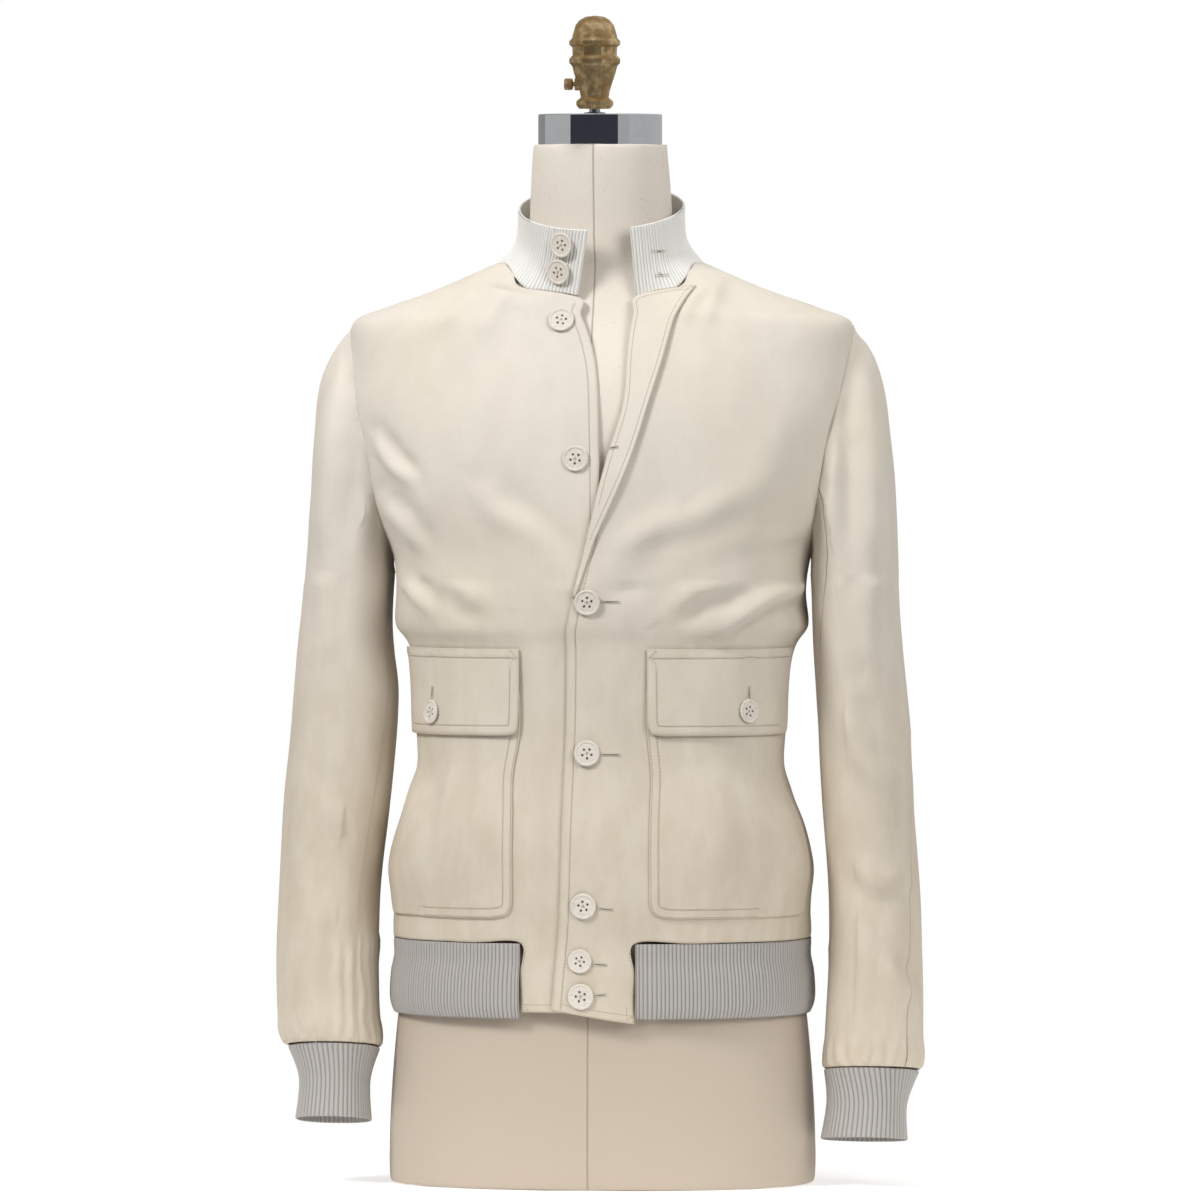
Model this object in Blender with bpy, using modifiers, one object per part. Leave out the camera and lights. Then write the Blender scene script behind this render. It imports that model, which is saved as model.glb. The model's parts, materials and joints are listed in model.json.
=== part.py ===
"""A suede blouson worn by a limbless dress form.

Metres, +Z up. The front faces -Y, the wearer's left is +X, and the origin is the centre of the form's flat
base. The constants and tables are in millimetres. A mesh is made in metres.
"""

import math
from collections import namedtuple

import bmesh
import bpy
import numpy as np
from mathutils import Vector

MM = 0.001

# ---------------------------------------------------------------- driving dimensions, in millimetres

SUEDE = 1.6  # thickness of the suede wall
PATCH = 1.4  # thickness of a pocket or a flap
SEAM_GAP = 0.3  # between two pieces that are sewn together or lie on each other
RIB_WALL = 2.4  # thickness of the knit at the top of a rib
RIB_RISE = 0.9  # how far a rib stands above the valley beside it
HEM_Z = {"left": 141.0, "right": 147.0}  # lowest edge of each front
HEM_RISE = {"left": (8.0, 0.0, -3.0), "right": (0.0, 0.0, 0.0)}  # how its three points differ from that
BAND_BOTTOM, BAND_TOP = 142.0, 204.0  # the knitted waistband
ARMPIT_Z, SHOULDER_Z = 520.0, 711.0  # lowest and highest point of an armhole
NECK_FRONT_Z = 735.0  # the neck seam at the centre front
WAIST_RIBS, COLLAR_RIBS, CUFF_RIBS = 273, 144, 58
SLEEVE_COLUMNS = 24
FORM_COLUMNS = 24
BUTTON_RADIUS = 10.3

# ---------------------------------------------------------------- sections of the form and of the jacket

# A section is a rounded oval at one height: its half width, how far it reaches to the front and to the back
# of centre_y, and how full its corners are (2 is an ellipse).
Section = namedtuple("Section", "z half_width front back fullness centre_y")

FORM = [
    Section(0, 166, 108, 118, 2.35, 0),
    Section(3, 172.5, 115, 125, 2.35, 0),
    Section(12, 177, 119, 129, 2.35, 0),
    Section(100, 173.5, 118, 129, 2.35, 0),
    Section(200, 162, 112, 118, 2.3, 0),
    Section(270, 150, 105, 104, 2.25, 0),
    Section(355, 138, 101, 93, 2.2, 0),
    Section(430, 147, 108, 98, 2.3, 0),
    Section(500, 158, 116, 108, 2.35, 0),
    Section(560, 167, 118, 115, 2.4, 0),
    Section(620, 181, 114, 119, 2.4, 0),
    Section(670, 195, 102, 114, 2.35, 0),
    Section(704, 199, 84, 100, 2.2, 0),
    Section(716, 190, 77, 93, 2.1, 0),
    Section(735, 141, 68, 82, 2.0, 0),
    Section(749, 108, 63, 70, 2.0, 0),
    Section(760, 81, 59, 60, 2.0, -2),
    Section(770, 67, 58, 57, 2.0, -5),
    Section(785, 60.5, 58, 56, 2.0, -8),
    Section(822, 58, 57.5, 56, 2.0, -13),
    Section(855, 55.5, 55.5, 55.5, 2.0, -18),
    Section(860, 52.5, 52.5, 52.5, 2.0, -18),
]

JACKET = [
    Section(125, 172, 126, 136, 2.35, 0),
    Section(204, 173, 126, 136, 2.35, 0),
    Section(224, 173, 129, 139, 2.3, 0),
    Section(264, 176, 132, 143, 2.3, 0),
    Section(294, 169, 131, 138, 2.3, 0),
    Section(318, 159.5, 126, 129, 2.3, 0),
    Section(345, 150.5, 120, 118, 2.3, 0),
    Section(374, 152.5, 117, 112, 2.3, 0),
    Section(410, 154.5, 117, 110, 2.3, 0),
    Section(446, 160.5, 120, 114, 2.35, 0),
    Section(462, 171, 124, 118, 2.35, 0),
    Section(488, 169, 125, 119, 2.4, 0),
    Section(520, 173, 125, 121, 2.4, 0),
    Section(545, 184, 125, 123, 2.4, 0),
    Section(577, 199.5, 124, 125, 2.4, 0),
    Section(612, 208, 120, 126, 2.4, 0),
    Section(648, 212, 112, 124, 2.4, 0),
    Section(682, 210, 100, 116, 2.3, 0),
    Section(711, 208.5, 86, 103, 2.2, 0),
    Section(723, 187, 80, 97, 2.1, 0),
    Section(735, 153, 70, 94, 2.0, -4),
    Section(742, 134, 64, 93, 2.0, -7),
    Section(752, 110.5, 57, 88, 2.0, -10),
    Section(763, 85, 50, 79, 2.0, -12),
    Section(770, 70, 45, 74, 2.0, -14),
]

# The lines of a front, as distances from the centre front towards its own side: the free edge, the line that
# ends the overlap (or, above the first fastened button, the crease that the edge is turned back to), the
# pocket's inner edge, and how far the overlap lifts this front off the other one.
FrontLine = namedtuple("FrontLine", "z edge lap pocket lift")

FRONT_LINES = {
    "left": [
        FrontLine(141, -29, 18, 39.5, 2.6),
        FrontLine(168, -27.4, 18, 39.5, 2.6),
        FrontLine(204, -24, 19, 39.5, 2.6),
        FrontLine(224, -22.3, 20, 51.5, 2.6),
        FrontLine(345, -19, 20, 51.5, 2.6),
        FrontLine(374, -18, 20, 48.5, 2.6),
        FrontLine(446, -17, 20, 48.5, 2.6),
        FrontLine(462, -16.8, 20, 50, 2.6),
        FrontLine(488, -11.5, 20, 50, 2.6),
        FrontLine(520, -4, 20, 50, 2.6),
        FrontLine(545, 2, 21, 50, 2.6),
        FrontLine(577, 9.4, 26, 52, 2.6),
        FrontLine(612, 18.7, 39.5, 58, 1.2),
        FrontLine(648, 28.6, 50, 68, 0),
        FrontLine(682, 30, 60, 78, 0),
        FrontLine(711, 32, 67, 86, 0),
        FrontLine(723, 33.5, 71, 93, 0),
        FrontLine(735, 35, 79, 97, 0),
        FrontLine(742, 67, 84, 98, 0),
        FrontLine(752, 75, 83, 91, 0),
        FrontLine(763, 79.5, 81.5, 83, 0),
    ],
    "right": [
        FrontLine(147, -6, 22, 55, 0),
        FrontLine(204, -10, 22, 55, 0),
        FrontLine(224, -12, 22, 61, 0),
        FrontLine(345, -15, 22, 61, 0),
        FrontLine(374, -15, 22, 56, 0),
        FrontLine(446, -14, 22, 56, 0),
        FrontLine(520, -12, 22, 58, 0),
        FrontLine(590, -10.5, 22, 60, 0),
        FrontLine(657, -8, 22, 60, 0),
        FrontLine(682, -4.6, 24, 60, 0),
        FrontLine(711, 4.5, 28, 60, 0),
        FrontLine(723, 9, 30, 58, 0),
        FrontLine(735, 12, 32, 54, 0),
        FrontLine(742, 57, 64, 74, 0),
        FrontLine(752, 67, 73, 79, 0),
        FrontLine(763, 78, 80, 82, 0),
    ],
}

# The free edge of the turned-back part, as a distance from the centre front.
TurnbackRow = namedtuple("TurnbackRow", "z x")
TURNBACK = [
    TurnbackRow(488, -8.3),
    TurnbackRow(520, 2),
    TurnbackRow(545, 11.5),
    TurnbackRow(577, 26),
    TurnbackRow(612, 39.5),
    TurnbackRow(648, 50),
    TurnbackRow(682, 60),
    TurnbackRow(711, 66.5),
    TurnbackRow(723, 71.5),
    TurnbackRow(735, 78),
    TurnbackRow(742, 83),
]
TURNBACK_STAND = 2.5  # how far its free edge stands off the front at the most

# Pockets and flaps. Both are made of the fronts' own points between these heights.
POCKET_BOTTOM, POCKET_MOUTH = 224.0, 410.0
FLAP_BOTTOM, FLAP_TOP = 374.0, 446.0
POCKET_BILLOW = 6.0  # how far a pocket's middle stands off the front
FLAP_STAND = 2.5  # how far the flap's lower edge hangs clear of the pocket
FLAP_BAND, FLAP_BAND_RISE = 7.5, 0.9  # the turned and stitched band along the flap's top
FLAP_BAND_STEP = 0.04  # the share of the flap's upper cells in which the band rises

# The armhole seam as the front shows it: its distance from the centre at each height.
ArmholeRow = namedtuple("ArmholeRow", "z x")
ARMHOLE = [
    ArmholeRow(520, 173),
    ArmholeRow(545, 178.5),
    ArmholeRow(577, 184.5),
    ArmholeRow(612, 190.5),
    ArmholeRow(648, 199.5),
    ArmholeRow(682, 205.5),
    ArmholeRow(711, 208.5),
]

# Heights of the panels' rows of points.
TAB_ROWS = [163, 184]
BODY_ROWS = [224, 244, 265, 294, 318, 345, 374, 410, 446, 462, 488]
TOP_ROWS = [723, 735, 742, 752, 763]
POCKET_TO_SIDE_COLUMNS = 6
POCKET_OUTER_ANGLE = 80.0  # where a pocket ends, with the side seam at 90
BACK_COLUMNS = 14

# The largest folds. Each is a soft ridge (or, with a height below 0, a trough) from one point to another of a
# face, in distances from the centre towards a side (left is positive) and heights.
Fold = namedtuple("Fold", "face x0 z0 x1 z1 width height")
FOLDS = [
    Fold("front", -20, 490, -85, 560, 16, 2.5),
    Fold("front", 25, 488, 105, 560, 17, 3.0),
    Fold("front", -150, 545, -120, 600, 15, 3.0),
    Fold("front", 120, 545, 150, 610, 15, 2.5),
    Fold("front", 95, 465, 165, 500, 14, 2.5),
    Fold("front", -95, 465, -160, 495, 14, 2.5),
    Fold("front", -80, 735, -130, 690, 16, 2.0),
    Fold("front", 85, 735, 115, 690, 16, 2.0),
    Fold("front", -100, 300, -140, 255, 20, 3.0),
    Fold("front", 120, 320, 160, 280, 18, 3.0),
    Fold("front", 5, 330, 45, 240, 20, 1.5),
    Fold("back", -60, 470, -150, 520, 20, 3.0),
    Fold("back", 70, 480, 150, 540, 20, 3.0),
    Fold("back", -20, 300, -120, 260, 22, 3.0),
    Fold("back", 30, 290, 130, 270, 22, 3.0),
    Fold("back", -150, 560, -100, 640, 18, 2.5),
    Fold("back", 150, 560, 110, 650, 18, 2.5),
]

# An arm of the jacket: the centre of each ring, its half width and its half depth, how far it leans forward
# in degrees, and how far the columns of points turn round it, so that the sleeve's seams lie as in the photo.
ArmRing = namedtuple("ArmRing", "z x y half_width half_depth lean turn")

ARM = {
    "right": [
        ArmRing(500, 211.5, 3, 36.5, 62, 0, 0),
        ArmRing(455, 215, 3, 38.5, 61, 0, 6),
        ArmRing(410, 214.5, 2, 43, 60, 1, 12),
        ArmRing(360, 218, 0, 44, 58, 2, 18),
        ArmRing(305, 223, -4, 44, 56, 4, 24),
        ArmRing(250, 226.6, -10, 42, 54, 6, 30),
        ArmRing(195, 227.4, -19, 42, 52, 7, 34),
        ArmRing(145, 226, -27, 42.5, 50, 8, 36),
        ArmRing(122, 223.4, -31, 42, 47, 8, 36),
        ArmRing(113, 220.5, -33, 38, 43.5, 8, 36),
        ArmRing(86, 219.5, -37, 29.3, 39, 8, 36),
        ArmRing(52, 220, -41, 31.3, 41, 8, 36),
    ],
    "left": [
        ArmRing(500, 210, 3, 36.2, 62, 0, 0),
        ArmRing(455, 212, 3, 36.5, 61, 0, -15),
        ArmRing(410, 215.6, 2, 37.4, 60, 1, -35),
        ArmRing(360, 218.8, 1, 37.8, 58, 1.5, -58),
        ArmRing(305, 221.8, -2, 37.6, 56, 2.5, -75),
        ArmRing(250, 226.4, -6, 37.8, 54, 3.5, -90),
        ArmRing(195, 228.8, -12, 38.5, 52, 5, -98),
        ArmRing(145, 228.4, -18, 40.2, 50, 6, -103),
        ArmRing(108, 227.6, -22, 41, 46, 6.5, -105),
        ArmRing(96, 226.5, -24, 39.5, 43, 6.5, -105),
        ArmRing(68, 222.6, -27, 33.3, 39.5, 6.5, -105),
        ArmRing(38, 220.6, -31, 36, 41, 6.5, -105),
    ],
}
SLEEVE_RINGS = 10  # how many of an arm's rings are the sleeve's. The last of them is the cuff seam.
ARM_FULLNESS = 2.2
CAP_STEPS = 4  # bands of the sleeve between the armhole and the first ring
CAP_SWING = (0.84, -0.54)  # outward and upward part of the direction in which the cap leaves the shoulder
CAP_FULLNESS = {"right": 0.66, "left": 0.5}  # how far it holds that direction, as a share of the cap's length
SLEEVE_SEAMS = {"right": (1, 14), "left": (4, 16)}  # columns, counted from the armpit round the front

# The collar's top edge: an oval like a section's, with its heights at the front, the sides and the back.
COLLAR_TOP = Section(810, 69, 78, 64, 2.0, -7)
COLLAR_TOP_FRONT_Z, COLLAR_TOP_BACK_Z = 790.0, 828.0
COLLAR_ENDS = {"left": 30.6, "right": 2.7}  # of the top edge, from the centre front towards each side
COLLAR_WAIST = (0.38, 7.5)  # the share of its height where the collar draws in, and by how much

# Where each button sits: its piece, its distance from the centre front towards the wearer's left, its height,
# and its size against the others.
ButtonPlace = namedtuple("ButtonPlace", "name on x z size")
BUTTONS = [
    ButtonPlace("front_button_1", "right_front", -25.0, 715, 1.0),
    ButtonPlace("front_button_2", "right_front", -9.4, 602, 1.0),
    ButtonPlace("front_button_3", "left_front", 1.3, 484.5, 1.0),
    ButtonPlace("front_button_4", "left_front", 0.4, 360, 1.0),
    ButtonPlace("front_button_5", "left_front", -1.5, 235.5, 1.0),
    ButtonPlace("front_button_6", "left_front", -5.0, 190, 0.92),
    ButtonPlace("front_button_7", "left_front", -4.0, 161, 1.0),
    ButtonPlace("right_flap_button", "right_flap", -133, 392.5, 0.92),
    ButtonPlace("left_flap_button", "left_flap", 129.5, 394, 0.92),
]
# The collar's two buttons: how far along it from its right end, and their heights above the neck seam.
COLLAR_BUTTONS = {"collar_button_1": (21, 40), "collar_button_2": (19, 17)}
BUTTON_STAND, COLLAR_BUTTON_STAND = 0.6, 2.2  # between a button's back and the cloth

# The metal on the neck.
CAP_CENTRE = (0.0, -18.0)
CAP_RADIUS, CAP_BOTTOM, CAP_TOP = 51.5, 860.3, 885.6
FINIAL_CENTRE = (-4.6, -18.0)
STEM_RADIUS, WASHER_RADIUS = 4.6, 9.0
SCREW_Z = 910.5
BOSS_RADIUS, BOSS_END = 5.2, 16.5  # the clamp boss on the finial's side, and how far it reaches from the axis
BORE_RADIUS, BORE_START = 2.2, 8.5
SHANK_RADIUS, KNOB_RADIUS = 1.9, 4.8
KNOB_START, KNOB_END = 18.2, 25.3

# The finial's outline, from its top to its foot.
ProfilePoint = namedtuple("ProfilePoint", "radius z")
FINIAL = [
    ProfilePoint(0, 967.2),
    ProfilePoint(7.5, 966.3),
    ProfilePoint(12.5, 963.6),
    ProfilePoint(15.8, 959.5),
    ProfilePoint(18.3, 951.5),
    ProfilePoint(18.9, 948.5),
    ProfilePoint(21.2, 946.2),
    ProfilePoint(21.2, 943.2),
    ProfilePoint(18.7, 941.0),
    ProfilePoint(18.4, 934.5),
    ProfilePoint(21.2, 931.5),
    ProfilePoint(21.2, 928.0),
    ProfilePoint(18.8, 925.5),
    ProfilePoint(17.2, 919.0),
    ProfilePoint(14.6, 911.5),
    ProfilePoint(12.6, 905.0),
    ProfilePoint(11.6, 899.5),
    ProfilePoint(15.4, 896.3),
    ProfilePoint(15.4, 893.2),
    ProfilePoint(13.0, 890.2),
    ProfilePoint(0, 890.2),
]

# Colour, roughness and metallic value of each finish.
Finish = namedtuple("Finish", "colour roughness metallic")
FINISHES = {
    "suede": Finish((0.70, 0.63, 0.51), 0.95, 0.0),
    "rib_knit": Finish((0.56, 0.55, 0.53), 0.9, 0.0),
    "canvas": Finish((0.78, 0.69, 0.56), 0.85, 0.0),
    "button": Finish((0.72, 0.66, 0.57), 0.35, 0.0),
    "chrome": Finish((0.78, 0.79, 0.80), 0.08, 1.0),
    "steel": Finish((0.55, 0.55, 0.55), 0.3, 1.0),
    "brass": Finish((0.34, 0.24, 0.11), 0.42, 1.0),
}

PARTS, CUTTERS = "suede_blouson_on_form", "cutters"


# ---------------------------------------------------------------- scene and mesh helpers


def clear_scene():
    for thing in list(bpy.data.objects):
        bpy.data.objects.remove(thing, do_unlink=True)
    for name in (PARTS, CUTTERS):
        bpy.context.scene.collection.children.link(bpy.data.collections.new(name))


def material(name):
    made = bpy.data.materials.get(name)
    if made is None:
        finish = FINISHES[name]
        made = bpy.data.materials.new(name)
        made.use_nodes = True
        shader = made.node_tree.nodes["Principled BSDF"]
        shader.inputs["Base Color"].default_value = (*finish.colour, 1.0)
        shader.inputs["Roughness"].default_value = finish.roughness
        shader.inputs["Metallic"].default_value = finish.metallic
    return made


def place(name, mesh, finish=None, collection=PARTS):
    thing = bpy.data.objects.new(name, mesh)
    bpy.data.collections[collection].objects.link(thing)
    if finish:
        mesh.materials.append(material(finish))
    if collection == CUTTERS:
        thing.hide_render = True
        thing.display_type = "WIRE"
    return thing


def solid(name, points, faces, finish, smooth_to=40):
    """A closed mesh from points in millimetres, with its faces turned outwards."""
    mesh = bpy.data.meshes.new(name)
    mesh.from_pydata([tuple(p) for p in np.asarray(points) * MM], [], faces)
    work = bmesh.new()
    work.from_mesh(mesh)
    bmesh.ops.recalc_face_normals(work, faces=work.faces)
    work.to_mesh(mesh)
    work.free()
    mesh.shade_smooth()
    mesh.set_sharp_from_angle(angle=math.radians(smooth_to))
    return place(name, mesh, finish)


def turned(name, outline, steps, finish=None, collection=PARTS):
    """A turned piece: an outline of (radius, z), from its top down its outer side, spun round Z."""
    mesh = bpy.data.meshes.new(name)
    points = [(radius * MM, 0, z * MM) for radius, z in outline]
    mesh.from_pydata(points, [(i, i + 1) for i in range(len(points) - 1)], [])
    piece = place(name, mesh, finish, collection)
    spin = piece.modifiers.new("spin", "SCREW")
    spin.steps = spin.render_steps = steps
    spin.use_merge_vertices = True
    spin.merge_threshold = 0.00001
    spin.use_smooth_shade = True
    return piece


# ---------------------------------------------------------------- tables and surfaces


def read(table, field, z):
    """One column of a table at heights between its rows, on a smooth curve that stays between them."""
    rows = sorted(table, key=lambda row: row.z)
    x = np.array([row.z for row in rows], float)
    y = np.array([getattr(row, field) for row in rows], float)
    step = np.diff(x)
    rise = np.diff(y) / step
    same_way = rise[1:] * rise[:-1] > 0
    total = np.where(same_way, rise[1:] + rise[:-1], 1.0)
    inner = np.where(same_way, 2 * rise[1:] * rise[:-1] / total, 0.0)
    slope = np.concatenate([rise[:1], inner, rise[-1:]])
    z = np.clip(np.asarray(z, float), x[0], x[-1])
    k = np.clip(np.searchsorted(x, z, side="right") - 1, 0, len(x) - 2)
    s = (z - x[k]) / step[k]
    return (
        y[k] * (1 + 2 * s) * (1 - s) ** 2
        + slope[k] * step[k] * s * (1 - s) ** 2
        + y[k + 1] * s**2 * (3 - 2 * s)
        + slope[k + 1] * step[k] * s**2 * (s - 1)
    )


def oval(half_width, front, back, fullness, centre_y, angle):
    """x and y on an oval. Angle 0 is the centre front, 90 the wearer's left side, 180 the centre back."""
    sine, cosine = np.sin(np.radians(angle)), np.cos(np.radians(angle))
    power = 2 / fullness
    depth = np.where(cosine > 0, front, back)
    x = half_width * np.sign(sine) * np.abs(sine) ** power
    y = centre_y - depth * np.sign(cosine) * np.abs(cosine) ** power
    return x, y


def body(table, angle, z):
    """Points on a body made of sections."""
    angle, z = np.broadcast_arrays(np.asarray(angle, float), np.asarray(z, float))
    x, y = oval(*(read(table, field, z) for field in Section._fields[1:]), angle)
    return np.stack([x, y, z], -1)


def unit(vectors):
    return vectors / np.linalg.norm(vectors, axis=-1, keepdims=True)


def body_normal(table, angle, z):
    reach = 1.0
    across = body(table, angle + reach, z) - body(table, angle - reach, z)
    up = body(table, angle, z + reach) - body(table, angle, z - reach)
    return unit(np.cross(across, up))


def angle_at(x, z):
    """The angle at which the front of the jacket is x from the centre line, at height z."""
    share = np.clip(np.asarray(x, float) / read(JACKET, "half_width", z), -1, 1)
    sine = np.sign(share) * np.abs(share) ** (read(JACKET, "fullness", z) / 2)
    return np.degrees(np.arcsin(sine))


def fold_height(points):
    """How far the folds push the jacket's surface out at some of its points."""
    height = np.zeros(points.shape[:-1])
    flat = points[..., [0, 2]]
    for fold in FOLDS:
        start = np.array([fold.x0, fold.z0], float)
        run = np.array([fold.x1, fold.z1], float) - start
        share = np.clip(((flat - start) @ run) / (run @ run), 0, 1)
        away = np.linalg.norm(flat - start - share[..., None] * run, axis=-1)
        facing = -1 if fold.face == "front" else 1
        on_face = np.clip(points[..., 1] * facing / 25, 0, 1)
        height += fold.height * np.exp(-((away / fold.width) ** 2)) * on_face
    return height


def shell(angle, z, lift=0.0):
    """The jacket's outer surface and its outward directions."""
    normal = body_normal(JACKET, angle, z)
    points = body(JACKET, angle, z)
    raised = fold_height(points) + lift
    return points + normal * raised[..., None], normal


# ---------------------------------------------------------------- walls


def trimmed(grid, sides):
    """A grid of points with some of its edges drawn back by half a seam gap, square to the edge."""
    grid = grid.copy()
    for side in sides:
        edge, beside = {
            "first_row": (np.s_[0], np.s_[1]),
            "last_row": (np.s_[-1], np.s_[-2]),
            "first_column": (np.s_[:, 0], np.s_[:, 1]),
            "last_column": (np.s_[:, -1], np.s_[:, -2]),
        }[side]
        along = unit(np.gradient(grid[edge], axis=0))
        across = grid[beside] - grid[edge]
        across = across - (across * along).sum(-1, keepdims=True) * along
        grid[edge] += unit(across) * SEAM_GAP / 2
    return grid


def wall(name, outer, inner, finish, present=None):
    """A closed wall between two grids of points of one size. `present` says which cells of the grid exist."""
    rows, columns = outer.shape[:2]
    if present is None:
        present = np.ones((rows - 1, columns - 1), bool)
    index = np.arange(rows * columns).reshape(rows, columns)
    far = rows * columns
    faces, uses = [], {}
    for r, c in zip(*np.nonzero(present)):
        ring = [index[r, c], index[r, c + 1], index[r + 1, c + 1], index[r + 1, c]]
        for three in (ring[:3], [ring[0], *ring[2:]]):
            faces.append(three)
            faces.append([far + i for i in reversed(three)])
        for pair in zip(ring, ring[1:] + ring[:1]):
            uses[frozenset(pair)] = None if frozenset(pair) in uses else pair
    faces += [(b, a, far + a, far + b) for a, b in filter(None, uses.values())]
    points = np.concatenate([outer.reshape(-1, 3), inner.reshape(-1, 3)])
    used = sorted({i for face in faces for i in face})
    renumber = {old: new for new, old in enumerate(used)}
    faces = [[renumber[i] for i in face] for face in faces]
    return solid(name, points[used], faces, finish)


def ribbed_wall(name, outer, inner, finish, closed):
    """A wall with many columns of points outside and fewer inside. The inner count divides the outer one."""
    rows, columns = outer.shape[:2]
    inner_columns = inner.shape[1]
    spans = inner_columns if closed else inner_columns - 1
    each = (columns if closed else columns - 1) // spans
    out = np.arange(rows * columns).reshape(rows, columns)
    far = rows * columns + np.arange(inner.shape[0] * inner_columns).reshape(inner.shape[0], inner_columns)
    if closed:
        out = np.concatenate([out, out[:, :1]], axis=1)
        far = np.concatenate([far, far[:, :1]], axis=1)
    faces = []
    for grid, turn in ((out, 1), (far, -1)):
        for r in range(grid.shape[0] - 1):
            for c in range(grid.shape[1] - 1):
                ring = [grid[r, c], grid[r, c + 1], grid[r + 1, c + 1], grid[r + 1, c]]
                faces.append(ring[::turn])
    for r, turn in ((0, -1), (-1, 1)):
        for s in range(spans):
            rim = [*out[r, s * each : (s + 1) * each + 1], far[r, s + 1], far[r, s]]
            faces.append(rim[::turn])
    if not closed:
        for c, turn in ((0, 1), (-1, -1)):
            faces.append([*out[:, c], *far[::-1, c]][::turn])
    points = np.concatenate([outer.reshape(-1, 3), inner.reshape(-1, 3)])
    return solid(name, points, faces, finish, smooth_to=25)


def evenly(path, count, closed=False):
    """`count` points at even distances along a path."""
    if closed:
        path = np.concatenate([path, path[:1]])
    steps = np.linalg.norm(np.diff(path, axis=0), axis=1)
    run = np.concatenate([[0], np.cumsum(steps)])
    at = np.linspace(0, run[-1], count + 1)[:-1] if closed else np.linspace(0, run[-1], count)
    return np.stack([np.interp(at, run, path[:, k]) for k in range(3)], -1)


def softened(path, rounds):
    """A path with its corners rounded, and its ends where they were."""
    for _ in range(rounds):
        path = np.concatenate([path[:1], (path[:-2] + 2 * path[1:-1] + path[2:]) / 4, path[-1:]])
    return path


def ribs(crest, inward):
    """A row of rib crests with the valleys between them drawn in."""
    ribbed = crest.copy()
    ribbed[1::2] += inward[1::2] * RIB_RISE
    return ribbed


# ---------------------------------------------------------------- the body of the jacket


def side_angle(z):
    """The angle at which a front ends: at the side seam, the armhole or the shoulder seam."""
    z = np.asarray(z, float)
    in_armhole = (z > ARMPIT_Z) & (z < SHOULDER_Z)
    return np.where(in_armhole, angle_at(read(ARMHOLE, "x", z), z), 90.0)


def sleeve_cap_directions(points, side):
    """The direction in which the sleeve leaves each point of the armhole."""
    out, up = CAP_SWING
    sign = 1 if side == "left" else -1
    middle = (ARMPIT_Z + SHOULDER_Z) / 2
    high = np.clip((points[:, 2] - middle) / (SHOULDER_Z - middle), -1, 1)
    return unit(
        np.stack(
            [
                sign * out * (0.62 + 0.38 * high),
                0.05 * points[:, 1] / 60,
                np.full(len(points), up),
            ],
            -1,
        )
    )


def armhole(side):
    """The armhole seam from the armpit up the front, over the shoulder and down the back: its points, and the
    direction there that halves the corner between the body and the sleeve, long enough to keep the wall."""
    sign = 1 if side == "left" else -1
    z = np.array([row.z for row in ARMHOLE], float)
    rise = side_angle(z)
    angles = np.concatenate([rise, 180 - rise[-2:0:-1]]) * sign
    heights = np.concatenate([z, z[-2:0:-1]])
    points, normal = shell(angles, heights)
    tangent = unit(np.roll(points, -1, 0) - np.roll(points, 1, 0))
    sleeve_normal = unit(np.cross(sleeve_cap_directions(points, side), tangent))
    away = points - points.mean(axis=0)
    sleeve_normal *= np.sign((sleeve_normal * away).sum(-1, keepdims=True))
    halfway = unit(normal + sleeve_normal)
    return points, halfway / np.maximum((halfway * normal).sum(-1, keepdims=True), 0.6)


def panel_rows(lowest=None):
    low = [] if lowest is None else [lowest, *TAB_ROWS]
    return np.array([*low, BAND_TOP, *BODY_ROWS, *(row.z for row in ARMHOLE), *TOP_ROWS], float)


def panel(name, rows, angles, lift, present, edges, hem_rise=()):
    """A body panel. `edges` names the armhole, if any, that ends its first and its last column."""
    heights = rows[:, None] + 0 * angles
    heights[0, : len(hem_rise)] += hem_rise
    outer, normal = shell(angles, heights, lift)
    inner = outer - normal * SUEDE
    first = int(np.argmin(np.abs(rows - ARMPIT_Z)))
    count = len(ARMHOLE)
    for column, (side, part) in edges.items():
        points, halfway = armhole(side)
        order = range(count) if part == "front" else [0, *range(len(points) - 1, count - 2, -1)]
        for step, at in enumerate(order):
            outer[first + step, column] = points[at]
            inner[first + step, column] = points[at] - halfway[at] * SUEDE
    drawn_in = ("first_column", "last_column", "last_row") if len(edges) == 2 else ("last_column", "last_row")
    outer, inner = trimmed(outer, drawn_in), trimmed(inner, drawn_in)
    wall(name, outer, inner, "suede", present)
    return outer, normal


def front(side):
    """One front, with the tab that runs down beside the waistband. It gives its grid of points back."""
    lines = FRONT_LINES[side]
    rows = panel_rows(HEM_Z[side])
    sign = 1 if side == "left" else -1
    edge, lap, pocket = (angle_at(read(lines, field, rows), rows) for field in ("edge", "lap", "pocket"))
    end = side_angle(rows)
    in_body = np.clip((ARMPIT_Z - rows) / 40, 0, 1)
    outermost = end + (POCKET_OUTER_ANGLE - 90) * in_body - (1 - in_body) * (end - pocket) / 8
    share = np.linspace(0, 1, POCKET_TO_SIDE_COLUMNS + 1)
    between = pocket[:, None] + (outermost - pocket)[:, None] * share
    angles = np.concatenate([edge[:, None], lap[:, None], between, end[:, None]], axis=1)
    lift = np.zeros(angles.shape)
    lift[:, :2] = read(lines, "lift", rows)[:, None]
    present = np.ones((len(rows) - 1, angles.shape[1] - 1), bool)
    present[: len(TAB_ROWS) + 1, 2:] = False
    edges = {-1: (side, "front")}
    outer, normal = panel(side + "_front", rows, sign * angles, lift, present, edges, HEM_RISE[side])
    return rows, outer, normal


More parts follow.
